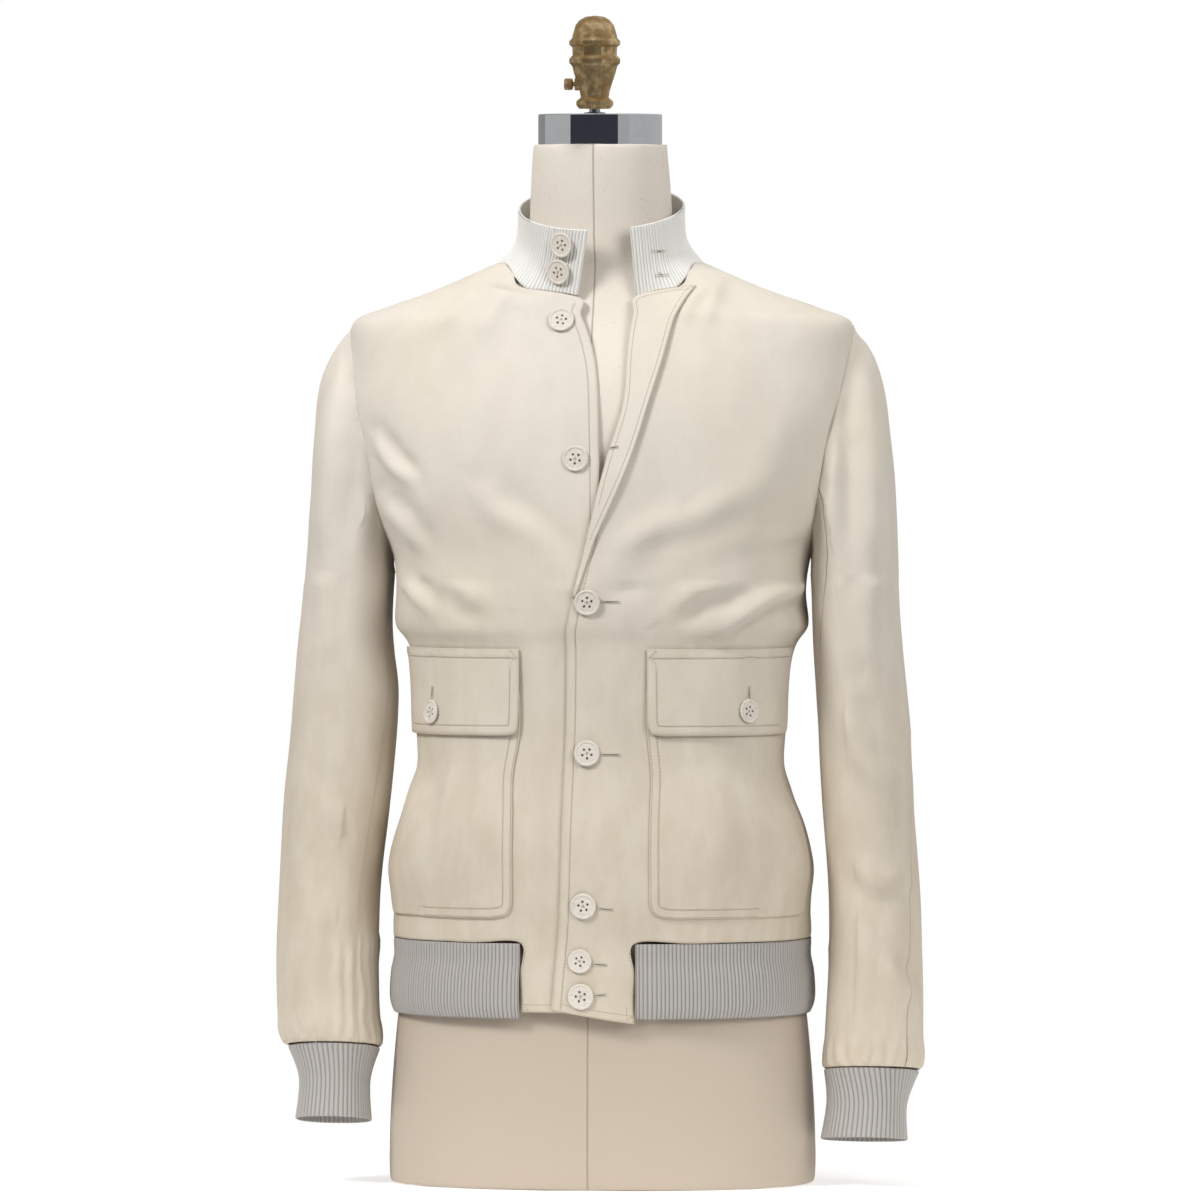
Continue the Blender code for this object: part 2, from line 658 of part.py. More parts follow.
def back():
    rows = panel_rows()
    end = side_angle(rows)
    angles = 180 + end[:, None] * np.linspace(-1, 1, BACK_COLUMNS + 1)
    edges = {0: ("left", "back"), -1: ("right", "back")}
    outer, _ = panel("back", rows, angles, 0.0, None, edges)
    return outer


def turnback(rows, outer, normal):
    """The upper part of the left front's edge, rolled outwards and lying on the front."""
    span = np.nonzero((rows >= TURNBACK[0].z) & (rows <= TURNBACK[-1].z))[0]
    edge, lap = (read(FRONT_LINES["left"], field, rows[span]) for field in ("edge", "lap"))
    reach = (read(TURNBACK, "x", rows[span]) - edge) / (lap - edge)
    share = np.linspace(0, 1, 3)[None, :, None] * reach[:, None, None]
    under = outer[span, 0][:, None] * (1 - share) + outer[span, 1][:, None] * share
    away = unit(normal[span, 0][:, None] * (1 - share) + normal[span, 1][:, None] * share)
    up = np.linspace(0, 1, len(span))[:, None, None]
    stand = SEAM_GAP + TURNBACK_STAND * np.sin(np.pi * up) * np.linspace(0, 1, 3)[None, :, None]
    under = under + away * stand
    over = under + away * SUEDE
    sides = ("last_row",)
    wall("left_front_turnback", trimmed(over, sides), trimmed(under, sides), "suede")


def pocket_grid(rows, outer, normal, lowest, highest):
    span = np.nonzero((rows >= lowest) & (rows <= highest))[0]
    columns = np.arange(2, 3 + POCKET_TO_SIDE_COLUMNS)
    return outer[np.ix_(span, columns)], normal[np.ix_(span, columns)], rows[span]


def billow(rows, columns):
    """How far a pocket's cloth stands off the front, most in its middle and not at all at its sewn edges."""
    up = np.clip((rows - POCKET_BOTTOM) / (FLAP_TOP - POCKET_BOTTOM), 0, 1)
    across = np.linspace(0, 1, columns)
    return POCKET_BILLOW * np.sin(np.pi * up)[:, None] * np.sin(np.pi * across)[None]


def pocket(side, rows, outer, normal):
    base, away, heights = pocket_grid(rows, outer, normal, POCKET_BOTTOM, POCKET_MOUTH)
    under = base + away * (SEAM_GAP + billow(heights, base.shape[1]))[..., None]
    wall(side + "_pocket", under + away * PATCH, under, "suede")


def flap(side, rows, outer, normal):
    """A pocket flap, with the raised band along its top. It gives its outer surface back."""
    base, away, heights = pocket_grid(rows, outer, normal, FLAP_BOTTOM, FLAP_TOP)
    band = (FLAP_TOP - FLAP_BAND - heights[-2]) / (heights[-1] - heights[-2])
    over_pocket = np.clip((FLAP_TOP - heights) / (FLAP_TOP - POCKET_MOUTH), 0, 1)
    hang = FLAP_STAND * (FLAP_TOP - heights) / (FLAP_TOP - FLAP_BOTTOM)
    clear = SEAM_GAP + (SEAM_GAP + PATCH) * over_pocket + hang
    under = base + away * (billow(heights, base.shape[1]) + clear[:, None])[..., None]

    def between(grid, share):
        return (grid[-2] * (1 - share) + grid[-1] * share)[None]

    step = band + FLAP_BAND_STEP
    under = np.concatenate([under[:-1], between(under, band), between(under, step), under[-1:]])
    away = np.concatenate([away[:-1], between(away, band), between(away, step), away[-1:]])
    rise = np.full(len(under), PATCH)
    rise[-2:] += FLAP_BAND_RISE
    over = under + away * rise[:, None, None]
    wall(side + "_flap", over, under, "suede")
    return over, away


# ---------------------------------------------------------------- sleeves and cuffs


def arm_ring(side, ring, angles):
    """Points round an arm. Angle -90 is nearest the body, 0 the front, 90 the outside, 180 the back."""
    sign = 1 if side == "left" else -1
    angles = np.radians(angles + ring.turn)
    sine, cosine = np.sin(angles), np.cos(angles)
    power = 2 / ARM_FULLNESS
    wide = ring.half_width * np.sign(sine) * np.abs(sine) ** power
    deep = ring.half_depth * np.sign(cosine) * np.abs(cosine) ** power
    lean = math.radians(ring.lean)
    centre = np.array([sign * ring.x, ring.y, ring.z])
    outwards = np.array([sign, 0, 0])
    forwards = np.array([0, -math.cos(lean), math.sin(lean)])
    return centre + wide[:, None] * outwards + deep[:, None] * forwards


def sleeve(side):
    """A two-piece sleeve: a tube from the armhole to the cuff seam, parted at its two seams."""
    seam, halfway = armhole(side)
    seam = seam + np.array([SEAM_GAP if side == "left" else -SEAM_GAP, 0, 0])
    top = np.empty((SLEEVE_COLUMNS, 3))
    top[::2], top[1::2] = seam, (seam + np.roll(seam, -1, 0)) / 2
    inward = np.empty((SLEEVE_COLUMNS, 3))
    inward[::2], inward[1::2] = halfway, (halfway + np.roll(halfway, -1, 0)) / 2
    angles = -90 + 360 / SLEEVE_COLUMNS * np.arange(SLEEVE_COLUMNS)
    rings = [arm_ring(side, ring, angles) for ring in ARM[side][:SLEEVE_RINGS]]
    leaving = sleeve_cap_directions(top, side)
    reach = np.linalg.norm(rings[0] - top, axis=1, keepdims=True)
    arriving = unit(rings[1] - rings[0])
    cap = []
    for step in range(CAP_STEPS):
        s = step / CAP_STEPS
        cap.append(
            top * (1 + 2 * s) * (1 - s) ** 2
            + leaving * CAP_FULLNESS[side] * reach * s * (1 - s) ** 2
            + rings[0] * s**2 * (3 - 2 * s)
            + arriving * reach * s**2 * (s - 1)
        )
    outer = np.array(cap + rings)
    along = np.gradient(outer, axis=0)
    round_it = np.roll(outer, -1, 1) - np.roll(outer, 1, 1)
    normal = unit(np.cross(along, round_it))
    away = outer - outer.mean(axis=1, keepdims=True)
    normal *= np.sign((normal * away).sum(-1).mean())
    inner = outer - normal * SUEDE
    inner[0] = top - inward * SUEDE
    first, second = SLEEVE_SEAMS[side]
    pieces = {
        "_top_sleeve": range(first, second + 1),
        "_under_sleeve": range(second, first + SLEEVE_COLUMNS + 1),
    }
    sides = ("last_row", "first_column", "last_column")
    for name, columns in pieces.items():
        pick = np.array(columns) % SLEEVE_COLUMNS
        wall(side + name, trimmed(outer[:, pick], sides), trimmed(inner[:, pick], sides), "suede")


def cuff(side):
    """A rib-knit tube that draws in below the sleeve."""
    spans = CUFF_RIBS // 2
    outer, inner = [], []
    for number, ring in enumerate(ARM[side][SLEEVE_RINGS - 1 :]):
        dense = arm_ring(side, ring, np.arange(0, 360, 2.0))
        crest = evenly(dense, 2 * CUFF_RIBS, closed=True)
        centre = crest.mean(axis=0)
        inward = unit(centre - crest)
        if number == 0:
            drop = unit(arm_ring(side, ARM[side][SLEEVE_RINGS], np.zeros(1)).mean(0) - dense[0])
            crest = crest + np.array([0, 0, drop[2]]) * SEAM_GAP / 2
        outer.append(ribs(crest, inward))
        inner.append((crest + inward * RIB_WALL)[:: 2 * CUFF_RIBS // spans])
    ribbed_wall(side + "_cuff", np.array(outer), np.array(inner), "rib_knit", closed=True)


# ---------------------------------------------------------------- waistband and collar

# The waistband's rows: their heights and how far they stand out from the jacket's section.
BandRow = namedtuple("BandRow", "z out")
BAND_ROWS = [
    BandRow(BAND_BOTTOM, 0.5),
    BandRow(158, 4.0),
    BandRow(BAND_TOP - SEAM_GAP, 0.0),
]
BAND_INNER_SPANS = 42  # each of them lies behind 13 of the outer columns
BAND_END_GAP = 0.6


def waistband():
    each = 2 * WAIST_RIBS // BAND_INNER_SPANS
    columns = each * BAND_INNER_SPANS + 1
    outer, inner = [], []
    for row in BAND_ROWS:
        start = angle_at(read(FRONT_LINES["left"], "pocket", BAND_BOTTOM) + BAND_END_GAP, row.z)
        stop = 360 - angle_at(read(FRONT_LINES["right"], "pocket", BAND_BOTTOM) + BAND_END_GAP, row.z)
        angles = np.linspace(start, stop, 361)
        normal = body_normal(JACKET, angles, row.z)
        normal[:, 2] = 0
        dense = body(JACKET, angles, row.z) + unit(normal) * row.out
        crest = evenly(dense, columns)
        inward = -unit(np.stack([crest[:, 0], crest[:, 1] * 1.6, 0 * crest[:, 0]], -1))
        outer.append(ribs(crest, inward))
        inner.append((crest + inward * RIB_WALL)[::each])
    ribbed_wall("waistband", np.array(outer), np.array(inner), "rib_knit", closed=False)


def neck_path(left, right, behind):
    """The neck seam from the left front's corner round the back to the right front's corner."""
    corner = len(TOP_ROWS) - TOP_ROWS.index(int(NECK_FRONT_Z))
    return np.concatenate(
        [
            left[-corner:, 0],
            left[-1, 1:-1],
            behind[-1],
            right[-1, 1:-1][::-1],
            right[-corner:, 0][::-1],
        ]
    )


def collar_top():
    ends = [math.degrees(math.asin(COLLAR_ENDS[side] / COLLAR_TOP.half_width)) for side in ("left", "right")]
    angles = np.linspace(ends[0], 360 - ends[1], 361)
    x, y = oval(*COLLAR_TOP[1:], angles)
    forward = np.cos(np.radians(angles))
    front_rise, back_rise = COLLAR_TOP_FRONT_Z - COLLAR_TOP.z, COLLAR_TOP_BACK_Z - COLLAR_TOP.z
    z = COLLAR_TOP.z + np.where(forward > 0, forward * front_rise, -forward * back_rise)
    return np.stack([x, y, z], -1)


def collar(path):
    """The knitted stand collar. It gives its rows of crests back."""
    columns = 2 * COLLAR_RIBS + 1
    foot = softened(evenly(path, columns), 8) + np.array([0, 0, 2 * SEAM_GAP])
    head = evenly(collar_top(), columns)
    share, draw = COLLAR_WAIST
    middle = foot * (1 - share) + head * share
    to_axis = np.array([0, COLLAR_TOP.centre_y, 0]) - middle
    to_axis[:, 2] = 0
    fade = np.clip(np.minimum(np.arange(columns), np.arange(columns)[::-1]) / (0.12 * columns), 0, 1)
    middle = middle + unit(to_axis) * (draw * fade)[:, None]
    crests, outer, inner = [foot, middle, head], [], []
    for crest in crests:
        inward = np.array([0, COLLAR_TOP.centre_y, 0]) - crest
        inward[:, 2] = 0
        inward = unit(inward)
        outer.append(ribs(crest, inward))
        inner.append((crest + inward * RIB_WALL)[::4])
    ribbed_wall("collar", np.array(outer), np.array(inner), "rib_knit", closed=False)
    return crests


# ---------------------------------------------------------------- buttons


def button(name, point, normal, size=1.0):
    """A rimmed button that lies on the cloth at a point and faces along a direction."""
    r = BUTTON_RADIUS * size
    outline = [(0, 2.0), (r * 0.78, 2.0), (r * 0.9, 2.9), (r, 1.7), (r * 0.8, 0), (0, 0)]
    piece = turned(name, outline, 12, "button")
    piece.rotation_mode = "QUATERNION"
    piece.rotation_quaternion = Vector(normal.tolist()).to_track_quat("Z", "Y")
    piece.location = (point * MM).tolist()


def on_grid(points, normals, x, z):
    """The point of a grid's faces that lies at x and z as seen from the front, and its direction."""
    rows, columns = points.shape[:2]
    for r in range(rows - 1):
        for c in range(columns - 1):
            corners = [(r, c), (r, c + 1), (r + 1, c + 1), (r + 1, c)]
            for three in (corners[:3], [corners[0], *corners[2:]]):
                a, b, d = (points[i] for i in three)
                base = np.array([[b[0] - a[0], d[0] - a[0]], [b[2] - a[2], d[2] - a[2]]])
                if abs(np.linalg.det(base)) < 1e-9:
                    continue
                s, t = np.linalg.solve(base, [x - a[0], z - a[2]])
                if s >= 0 and t >= 0 and s + t <= 1:
                    facing = unit(np.cross(b - a, d - a))
                    facing = facing * np.sign(facing @ normals[r, c])
                    return a + s * (b - a) + t * (d - a), facing
    raise ValueError(f"no point at {x}, {z}")


# ---------------------------------------------------------------- the dress form


def form_body():
    rows = np.array([row.z for row in FORM], float)
    angles = np.arange(FORM_COLUMNS) * 360 / FORM_COLUMNS
    points = body(FORM, np.broadcast_to(angles, (len(rows), FORM_COLUMNS)), rows[:, None] + 0 * angles)
    index = np.arange(points.shape[0] * FORM_COLUMNS).reshape(-1, FORM_COLUMNS)
    faces = [list(index[0][::-1]), list(index[-1])]
    for low, high in zip(index, index[1:]):
        for c in range(FORM_COLUMNS):
            after = (c + 1) % FORM_COLUMNS
            faces.append([low[c], low[after], high[after], high[c]])
    solid("form_body", points.reshape(-1, 3), faces, "canvas")


def metalwork():
    edge = 0.8
    cap = turned(
        "neck_cap",
        [
            (0, CAP_TOP),
            (CAP_RADIUS - edge, CAP_TOP),
            (CAP_RADIUS, CAP_TOP - edge),
            (CAP_RADIUS, CAP_BOTTOM),
            (0, CAP_BOTTOM),
        ],
        32,
        "chrome",
    )
    cap.location = (CAP_CENTRE[0] * MM, CAP_CENTRE[1] * MM, 0)

    washer_top, finial_foot = CAP_TOP + 2.0, FINIAL[-1].z
    stem = turned(
        "stem",
        [
            (0, finial_foot - SEAM_GAP),
            (STEM_RADIUS, finial_foot - SEAM_GAP),
            (STEM_RADIUS, washer_top),
            (WASHER_RADIUS, washer_top - 0.6),
            (WASHER_RADIUS, CAP_TOP + SEAM_GAP),
            (0, CAP_TOP + SEAM_GAP),
        ],
        16,
        "steel",
    )
    finial = turned("finial", FINIAL, 16, "brass")
    for piece in (stem, finial):
        piece.location = (FINIAL_CENTRE[0] * MM, FINIAL_CENTRE[1] * MM, 0)

    screw_at = (FINIAL_CENTRE[0] * MM, FINIAL_CENTRE[1] * MM, SCREW_Z * MM)
    boss = turned(
        "boss_shape",
        [(0, BOSS_END), (BOSS_RADIUS, BOSS_END), (BOSS_RADIUS, 0.5 * BORE_START), (0, 0.5 * BORE_START)],
        16,
        collection=CUTTERS,
    )
    bore = turned(
        "bore_cutter",
        [(0, BOSS_END + 2), (BORE_RADIUS, BOSS_END + 2), (BORE_RADIUS, BORE_START), (0, BORE_START)],
        16,
        collection=CUTTERS,
    )
    knob_edge = 0.8
    screw = turned(
        "thumb_screw",
        [
            (0, KNOB_END),
            (KNOB_RADIUS - knob_edge, KNOB_END),
            (KNOB_RADIUS, KNOB_END - knob_edge),
            (KNOB_RADIUS, KNOB_START + knob_edge),
            (KNOB_RADIUS - knob_edge, KNOB_START),
            (SHANK_RADIUS, KNOB_START),
            (SHANK_RADIUS, BORE_START + 1.5),
            (0, BORE_START + 1.5),
        ],
        12,
        "brass",
    )
    for piece in (boss, bore, screw):
        piece.location = screw_at
        piece.rotation_euler = (0, -math.pi / 2, 0)
    for shape, operation in ((boss, "UNION"), (bore, "DIFFERENCE")):
        cut = finial.modifiers.new(shape.name, "BOOLEAN")
        cut.operation = operation
        cut.object = shape


# ---------------------------------------------------------------- everything


def main():
    clear_scene()
    form_body()
    metalwork()

    surfaces, corners = {}, {}
    for side in ("left", "right"):
        rows, outer, normal = front(side)
        surfaces[side + "_front"] = (outer, normal)
        corners[side] = outer
        pocket(side, rows, outer, normal)
        surfaces[side + "_flap"] = flap(side, rows, outer, normal)
        if side == "left":
            turnback(rows, outer, normal)
        sleeve(side)
        cuff(side)
    behind = back()
    waistband()
    foot, middle, head = collar(neck_path(corners["left"], corners["right"], behind))

    for spot in BUTTONS:
        point, facing = on_grid(*surfaces[spot.on], spot.x, spot.z)
        button(spot.name, point + facing * BUTTON_STAND, facing, spot.size)
    for name, (along, up) in COLLAR_BUTTONS.items():
        run = np.concatenate([[0], np.cumsum(np.linalg.norm(np.diff(middle[::-1], axis=0), axis=1))])
        at = len(foot) - 1 - int(np.argmin(np.abs(run - along)))
        column = np.array([foot[at], middle[at], head[at]])
        share = up / np.linalg.norm(head[at] - foot[at])
        point = np.array([np.interp(share, [0, COLLAR_WAIST[0], 1], column[:, k]) for k in range(3)])
        across = middle[at] - middle[at - 6]
        facing = unit(np.cross(across, head[at] - foot[at]))
        facing = facing * np.sign(facing @ (point - np.array([0, COLLAR_TOP.centre_y, point[2]])))
        button(name, point + facing * COLLAR_BUTTON_STAND, facing)


main()
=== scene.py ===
"""The looks of a suede blouson on a limbless dress form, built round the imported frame.

Metres, +Z up, the front faces -Y and the wearer's left is +X, as in the frame. Lengths that a maker would
measure are written in millimetres and turned into metres with MM.
"""

import json
import math
from collections import namedtuple

import bmesh
import bpy
import numpy as np
from mathutils import Matrix, Vector, noise
from mathutils.bvhtree import BVHTree
from mathutils.kdtree import KDTree

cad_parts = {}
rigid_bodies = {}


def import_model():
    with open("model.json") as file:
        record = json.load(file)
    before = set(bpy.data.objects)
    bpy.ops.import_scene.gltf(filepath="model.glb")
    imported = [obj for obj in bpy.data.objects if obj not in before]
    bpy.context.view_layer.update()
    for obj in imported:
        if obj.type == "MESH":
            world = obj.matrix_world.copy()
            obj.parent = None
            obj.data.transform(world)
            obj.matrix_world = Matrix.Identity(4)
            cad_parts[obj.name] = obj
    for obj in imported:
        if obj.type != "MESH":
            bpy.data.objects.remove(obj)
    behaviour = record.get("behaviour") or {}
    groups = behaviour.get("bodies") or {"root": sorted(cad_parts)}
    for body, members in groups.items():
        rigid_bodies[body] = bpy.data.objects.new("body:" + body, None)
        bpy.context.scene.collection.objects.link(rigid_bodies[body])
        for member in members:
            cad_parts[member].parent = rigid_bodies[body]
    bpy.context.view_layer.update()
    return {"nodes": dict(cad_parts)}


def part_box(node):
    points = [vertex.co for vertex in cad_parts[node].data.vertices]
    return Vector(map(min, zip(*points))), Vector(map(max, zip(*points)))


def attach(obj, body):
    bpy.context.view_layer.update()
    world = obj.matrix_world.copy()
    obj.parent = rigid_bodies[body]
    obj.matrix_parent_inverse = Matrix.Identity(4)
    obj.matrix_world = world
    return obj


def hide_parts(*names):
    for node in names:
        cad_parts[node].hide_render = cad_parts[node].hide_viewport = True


MM = 0.001
UP = Vector((0, 0, 1))
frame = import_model()
nodes = frame["nodes"]

# ---------------------------------------------------------------- camera, floor and light

CAMERA_AZIMUTH, CAMERA_DISTANCE, CAMERA_HEIGHT = math.radians(6), 10.0, 0.73
FRAME_WIDTH, FRAME_MIDDLE = 0.996, Vector((0, 0, 0.483))
SHIFT = -2.5 / 1200  # the form stands two and a half pixels beside the photo's middle

# Each lamp's place and what it is aimed at, its width and length, and its power in watts.
LAMPS = {
    "key": ((-1.9, -2.0, 2.7), (0, 0, 0.6), (0.9, 0.9), 80),
    "fill": ((2.4, -2.6, 2.0), (0, 0, 0.65), (1.8, 1.8), 58),
    "top": ((0.2, 0.4, 2.8), (0, 0, 0.6), (1.6, 1.4), 5),
}

# The zones of the studio's walls. Each pair is where a zone begins to fade in or out and where it has done
# so: an angle in radians from straight ahead of the form towards its left, or a sine above the floor's level.
DARK_FROM, DARK_TO, DARK_HEIGHT = (-1.05, -0.95), (0.52, 0.66), (0.25, 0.5)
STRIP_FROM, STRIP_TO = (0.66, 0.7), (0.84, 0.9)  # a grey strip beside the dark wall
BEHIND_TO, LOW_TO = (-2.2, -1.9), (-0.75, 0.5)  # the grey wall behind on the right, and the darker ground
FLOOR_FADE = (0.4, 0.8)  # how far from the form the floor fades into the white behind it


def in_scene(name, data):
    """An object in the scene that has this mesh, lamp or camera."""
    thing = bpy.data.objects.new(name, data)
    bpy.context.scene.collection.objects.link(thing)
    return thing


def aim(thing, place, target):
    """Puts a camera or a lamp at a place, turns it towards its target and says how far away that is."""
    thing.location = place
    towards = Vector(target) - Vector(place)
    thing.rotation_euler = towards.to_track_quat("-Z", "Y").to_euler()
    return towards.length


def photo_camera():
    data = bpy.data.cameras.new("photo_camera")
    camera = in_scene("photo_camera", data)
    ahead = -CAMERA_DISTANCE * math.cos(CAMERA_AZIMUTH)
    place = (CAMERA_DISTANCE * math.sin(CAMERA_AZIMUTH), ahead, CAMERA_HEIGHT)
    data.lens = data.sensor_width * aim(camera, place, FRAME_MIDDLE) / FRAME_WIDTH
    data.shift_x = SHIFT
    data.clip_end = 60
    bpy.context.scene.camera = camera


def area_light(name, place, target, size, watts):
    """A large soft lamp. Polished metal mirrors the studio's walls instead of it."""
    data = bpy.data.lights.new(name, "AREA")
    data.shape = "RECTANGLE"
    data.size, data.size_y = size
    data.energy = watts
    lamp = in_scene(name, data)
    aim(lamp, place, target)
    lamp.visible_glossy = False


def grey(share):
    return (share, share, share, 1)


def studio():
    """A pale floor, pale walls that are dark straight ahead of the form, and soft lamps."""
    constants = {
        "Base Color": grey(0.7),
        "Roughness": 0.9,
        "Specular IOR Level": 0.1,
        "Emission Color": grey(1),
        "Emission Strength": 0.55,
    }
    paper = Finish("floor_paper", constants)
    away = paper.node("ShaderNodeVectorMath", {"operation": "LENGTH"}, {0: paper.place()}, "Value")
    paper.feed("Alpha", 1 - away.between(*FLOOR_FADE))
    ground = bmesh.new()
    bmesh.ops.create_grid(ground, x_segments=1, y_segments=1, size=2)
    floor = in_scene("floor", give(ground, "floor"))
    floor.data.materials.append(paper.material)

    world = bpy.data.worlds.new("studio")
    bpy.context.scene.world = world
    world.use_nodes = True
    walls = Finish.of_world(world)
    direction = walls.node("ShaderNodeTexCoord", {}, {}, "Generated").parts()
    turn = walls.maths("ARCTAN2", direction["X"], direction["Y"] * -1.0)
    level = direction["Z"].maths("ABSOLUTE")
    strip = turn.between(*STRIP_FROM) * (1 - turn.between(*STRIP_TO))
    behind = 1 - turn.between(*BEHIND_TO)
    tone = walls.mix((strip + behind).maths("MINIMUM", 1.0) * 0.6, grey(0.6), grey(0.2))
    dark = turn.between(*DARK_FROM) * (1 - turn.between(*DARK_TO)) * (1 - level.between(*DARK_HEIGHT))
    tone = walls.mix(dark, tone, (0.035, 0.04, 0.055, 1))
    low = 1 - direction["Z"].between(*LOW_TO)
    tone = walls.mix(low * 0.7, tone, grey(0.05))
    seen = walls.node("ShaderNodeLightPath", {}, {}, "Is Camera Ray")
    tone = walls.mix(seen, tone, grey(1))
    world.node_tree.links.new(tone.socket, world.node_tree.nodes["Background"].inputs["Color"])

    for name, lamp in LAMPS.items():
        area_light(name, *lamp)
    bpy.context.scene.view_settings.view_transform = "Standard"


# ---------------------------------------------------------------- finishes


class Value:
    """A number, a vector or a colour inside a finish, so that its maths reads as plain Python."""

    def __init__(self, finish, socket):
        self.finish, self.socket = finish, socket

    def maths(self, operation, *values):
        return self.finish.maths(operation, self, *values)

    def __add__(self, other):
        return self.maths("ADD", other)

    def __sub__(self, other):
        return self.maths("SUBTRACT", other)

    def __rsub__(self, other):
        return self.finish.maths("SUBTRACT", other, self)

    def __mul__(self, other):
        return self.maths("MULTIPLY", other)

    def __truediv__(self, other):
        return self.maths("DIVIDE", other)

    __radd__, __rmul__ = __add__, __mul__

    def between(self, low, high):
        """0 below low, 1 above high, and a smooth rise between them."""
        settings = {"interpolation_type": "SMOOTHSTEP"}
        return self.finish.node("ShaderNodeMapRange", settings, {0: self, 1: low, 2: high})

    def parts(self):
        """The X, Y and Z of a vector."""
        return self.finish.node("ShaderNodeSeparateXYZ", {}, {0: self}, None)


class Finish:
    """A material with one principled shader."""

    def __init__(self, name, constants):
        self.material = bpy.data.materials.new(name)
        self.material.use_nodes = True
        self.tree = self.material.node_tree
        self.shader = self.tree.nodes["Principled BSDF"]
        for socket, value in constants.items():
            self.shader.inputs[socket].default_value = value

    @classmethod
    def of_world(cls, world):
        made = cls.__new__(cls)
        made.tree = world.node_tree
        return made

    def node(self, kind, settings, inputs, output=0):
        """Any node: its settings, then its inputs. It gives one output, or all of them by name."""
        made = self.tree.nodes.new(kind)
        for name, value in settings.items():
            setattr(made, name, value)
        for name, value in inputs.items():
            if isinstance(value, Value):
                self.tree.links.new(value.socket, made.inputs[name])
            else:
                made.inputs[name].default_value = value
        if output is None:
            return {socket.name: Value(self, socket) for socket in made.outputs}
        return Value(self, made.outputs[output])

    def maths(self, operation, *values):
        return self.node("ShaderNodeMath", {"operation": operation}, dict(enumerate(values)))

    def place(self, stretch=(1, 1, 1)):
        """Where a point lies on the object, in metres, with each axis stretched by its own share."""
        where = self.node("ShaderNodeTexCoord", {}, {}, "Object")
        if stretch == (1, 1, 1):
            return where
        return self.node("ShaderNodeMapping", {}, {"Vector": where, "Scale": stretch})

    def attribute(self, name):
        return self.node("ShaderNodeAttribute", {"attribute_name": name}, {}, "Fac")

    def pattern(self, name):
        """The two numbers of a piece's own UV map."""
        parts = self.node("ShaderNodeUVMap", {"uv_map": name}, {}).parts()
        return parts["X"], parts["Y"]

    def noise(self, where, scale, detail=2.0, roughness=0.5):
        inputs = {"Vector": where, "Scale": scale, "Detail": detail, "Roughness": roughness}
        return self.node("ShaderNodeTexNoise", {}, inputs)

    def mix(self, share, first, second, blend="MIX"):
        settings = {"data_type": "RGBA", "blend_type": blend}
        return self.node("ShaderNodeMix", settings, {0: share, 6: first, 7: second}, 2)

    def feed(self, socket, value):
        self.tree.links.new(value.socket, self.shader.inputs[socket])

    def bump(self, height, distance, strength=1.0, under=None):
        inputs = {"Height": height, "Distance": distance, "Strength": strength}
        if under is not None:
            inputs["Normal"] = under
        return self.node("ShaderNodeBump", {}, inputs)


def paint(red, green, blue):
    """A colour given as on a screen, as the shader wants it."""
    linear = [((c / 255 + 0.055) / 1.055) ** 2.4 for c in (red, green, blue)]
    return (*linear, 1.0)


def darker(colour, share):
    return (*(share * part for part in colour[:3]), 1.0)


EDGE_ROW = 8.0  # how far the wide row of topstitching is from its edge, in millimetres
STITCH_RISE = 1.5  # the height of one knitted stitch, in millimetres
WEAVE_PITCH = 0.62  # from one of the canvas's threads to the next, in millimetres
COVER_SEAM = (0.35 * MM, 0.9 * MM)  # half a cover seam's width, and where its edges have faded
SIDE_SEAM_AHEAD = 2 * MM  # how far ahead of the form's middle its side seams run
NECK_FOOT = (0.768, 0.77)  # the side seams end at the foot of the neck


def suede_finish():
    """Short-napped suede. Its nap shows in paler and greyer clouds. It is painted darker and warmer low down,
    as shade where less light falls. Its edges are darker, partly from handling and partly as painted shade
    along the seams, and it sinks in along the wide row of topstitching."""
    constants = {
        "Roughness": 0.95,
        "Specular IOR Level": 0.1,
        "Sheen Weight": 0.18,
        "Sheen Roughness": 0.5,
        "Sheen Tint": paint(240, 234, 222),
    }
    finish = Finish("suede", constants)
    where = finish.place()
    clouds = finish.noise(where, 9, 3, 0.55).between(0.36, 0.66)
    strokes = finish.noise(finish.place((1, 1, 0.4)), 48, 3, 0.6).between(0.32, 0.72)
    warm = finish.noise(finish.place((1.3, 1, 0.8)), 5, 2, 0.5).between(0.4, 0.66)
    specks = finish.noise(where, 1100, 2, 0.6).between(0.35, 0.75)
    colour = finish.mix(clouds * 0.75, paint(222, 214, 202), paint(212, 205, 196))
    colour = finish.mix(warm * 0.4, colour, paint(219, 207, 184))
    # Painted shade: the suede is darker and warmer towards the bottom, where less light falls.
    lower = 1 - where.parts()["Z"].between(0.25, 0.62)
    colour = finish.mix(lower * 0.85, colour, paint(199, 186, 166))
    colour = finish.mix(strokes * 0.28, colour, paint(228, 221, 208))
    colour = finish.mix(specks * 0.14, colour, paint(188, 176, 156))
    # The edges darken, partly as handling wear and partly as painted shade along the seams.
    worn_and_seam_shade = 1 - finish.attribute("edge_mm").between(0.0, 2.2)
    finish.feed("Base Color", finish.mix(worn_and_seam_shade * 0.35, colour, paint(190, 176, 150)))
    channel = (finish.attribute("sewn_mm") - EDGE_ROW).maths("ABSOLUTE").between(0.0, 1.3)
    nap = finish.noise(where, 1500, 2, 0.6) * 0.5 + finish.noise(where, 360, 2, 0.5) * 0.5
    soft = finish.noise(where, 70, 3, 0.55)
    rough = finish.bump(soft, 1.2 * MM, 0.35)
    rough = finish.bump(channel, 0.5 * MM, 0.8, rough)
    finish.feed("Normal", finish.bump(nap, 0.22 * MM, 0.4, rough))
    return finish.material


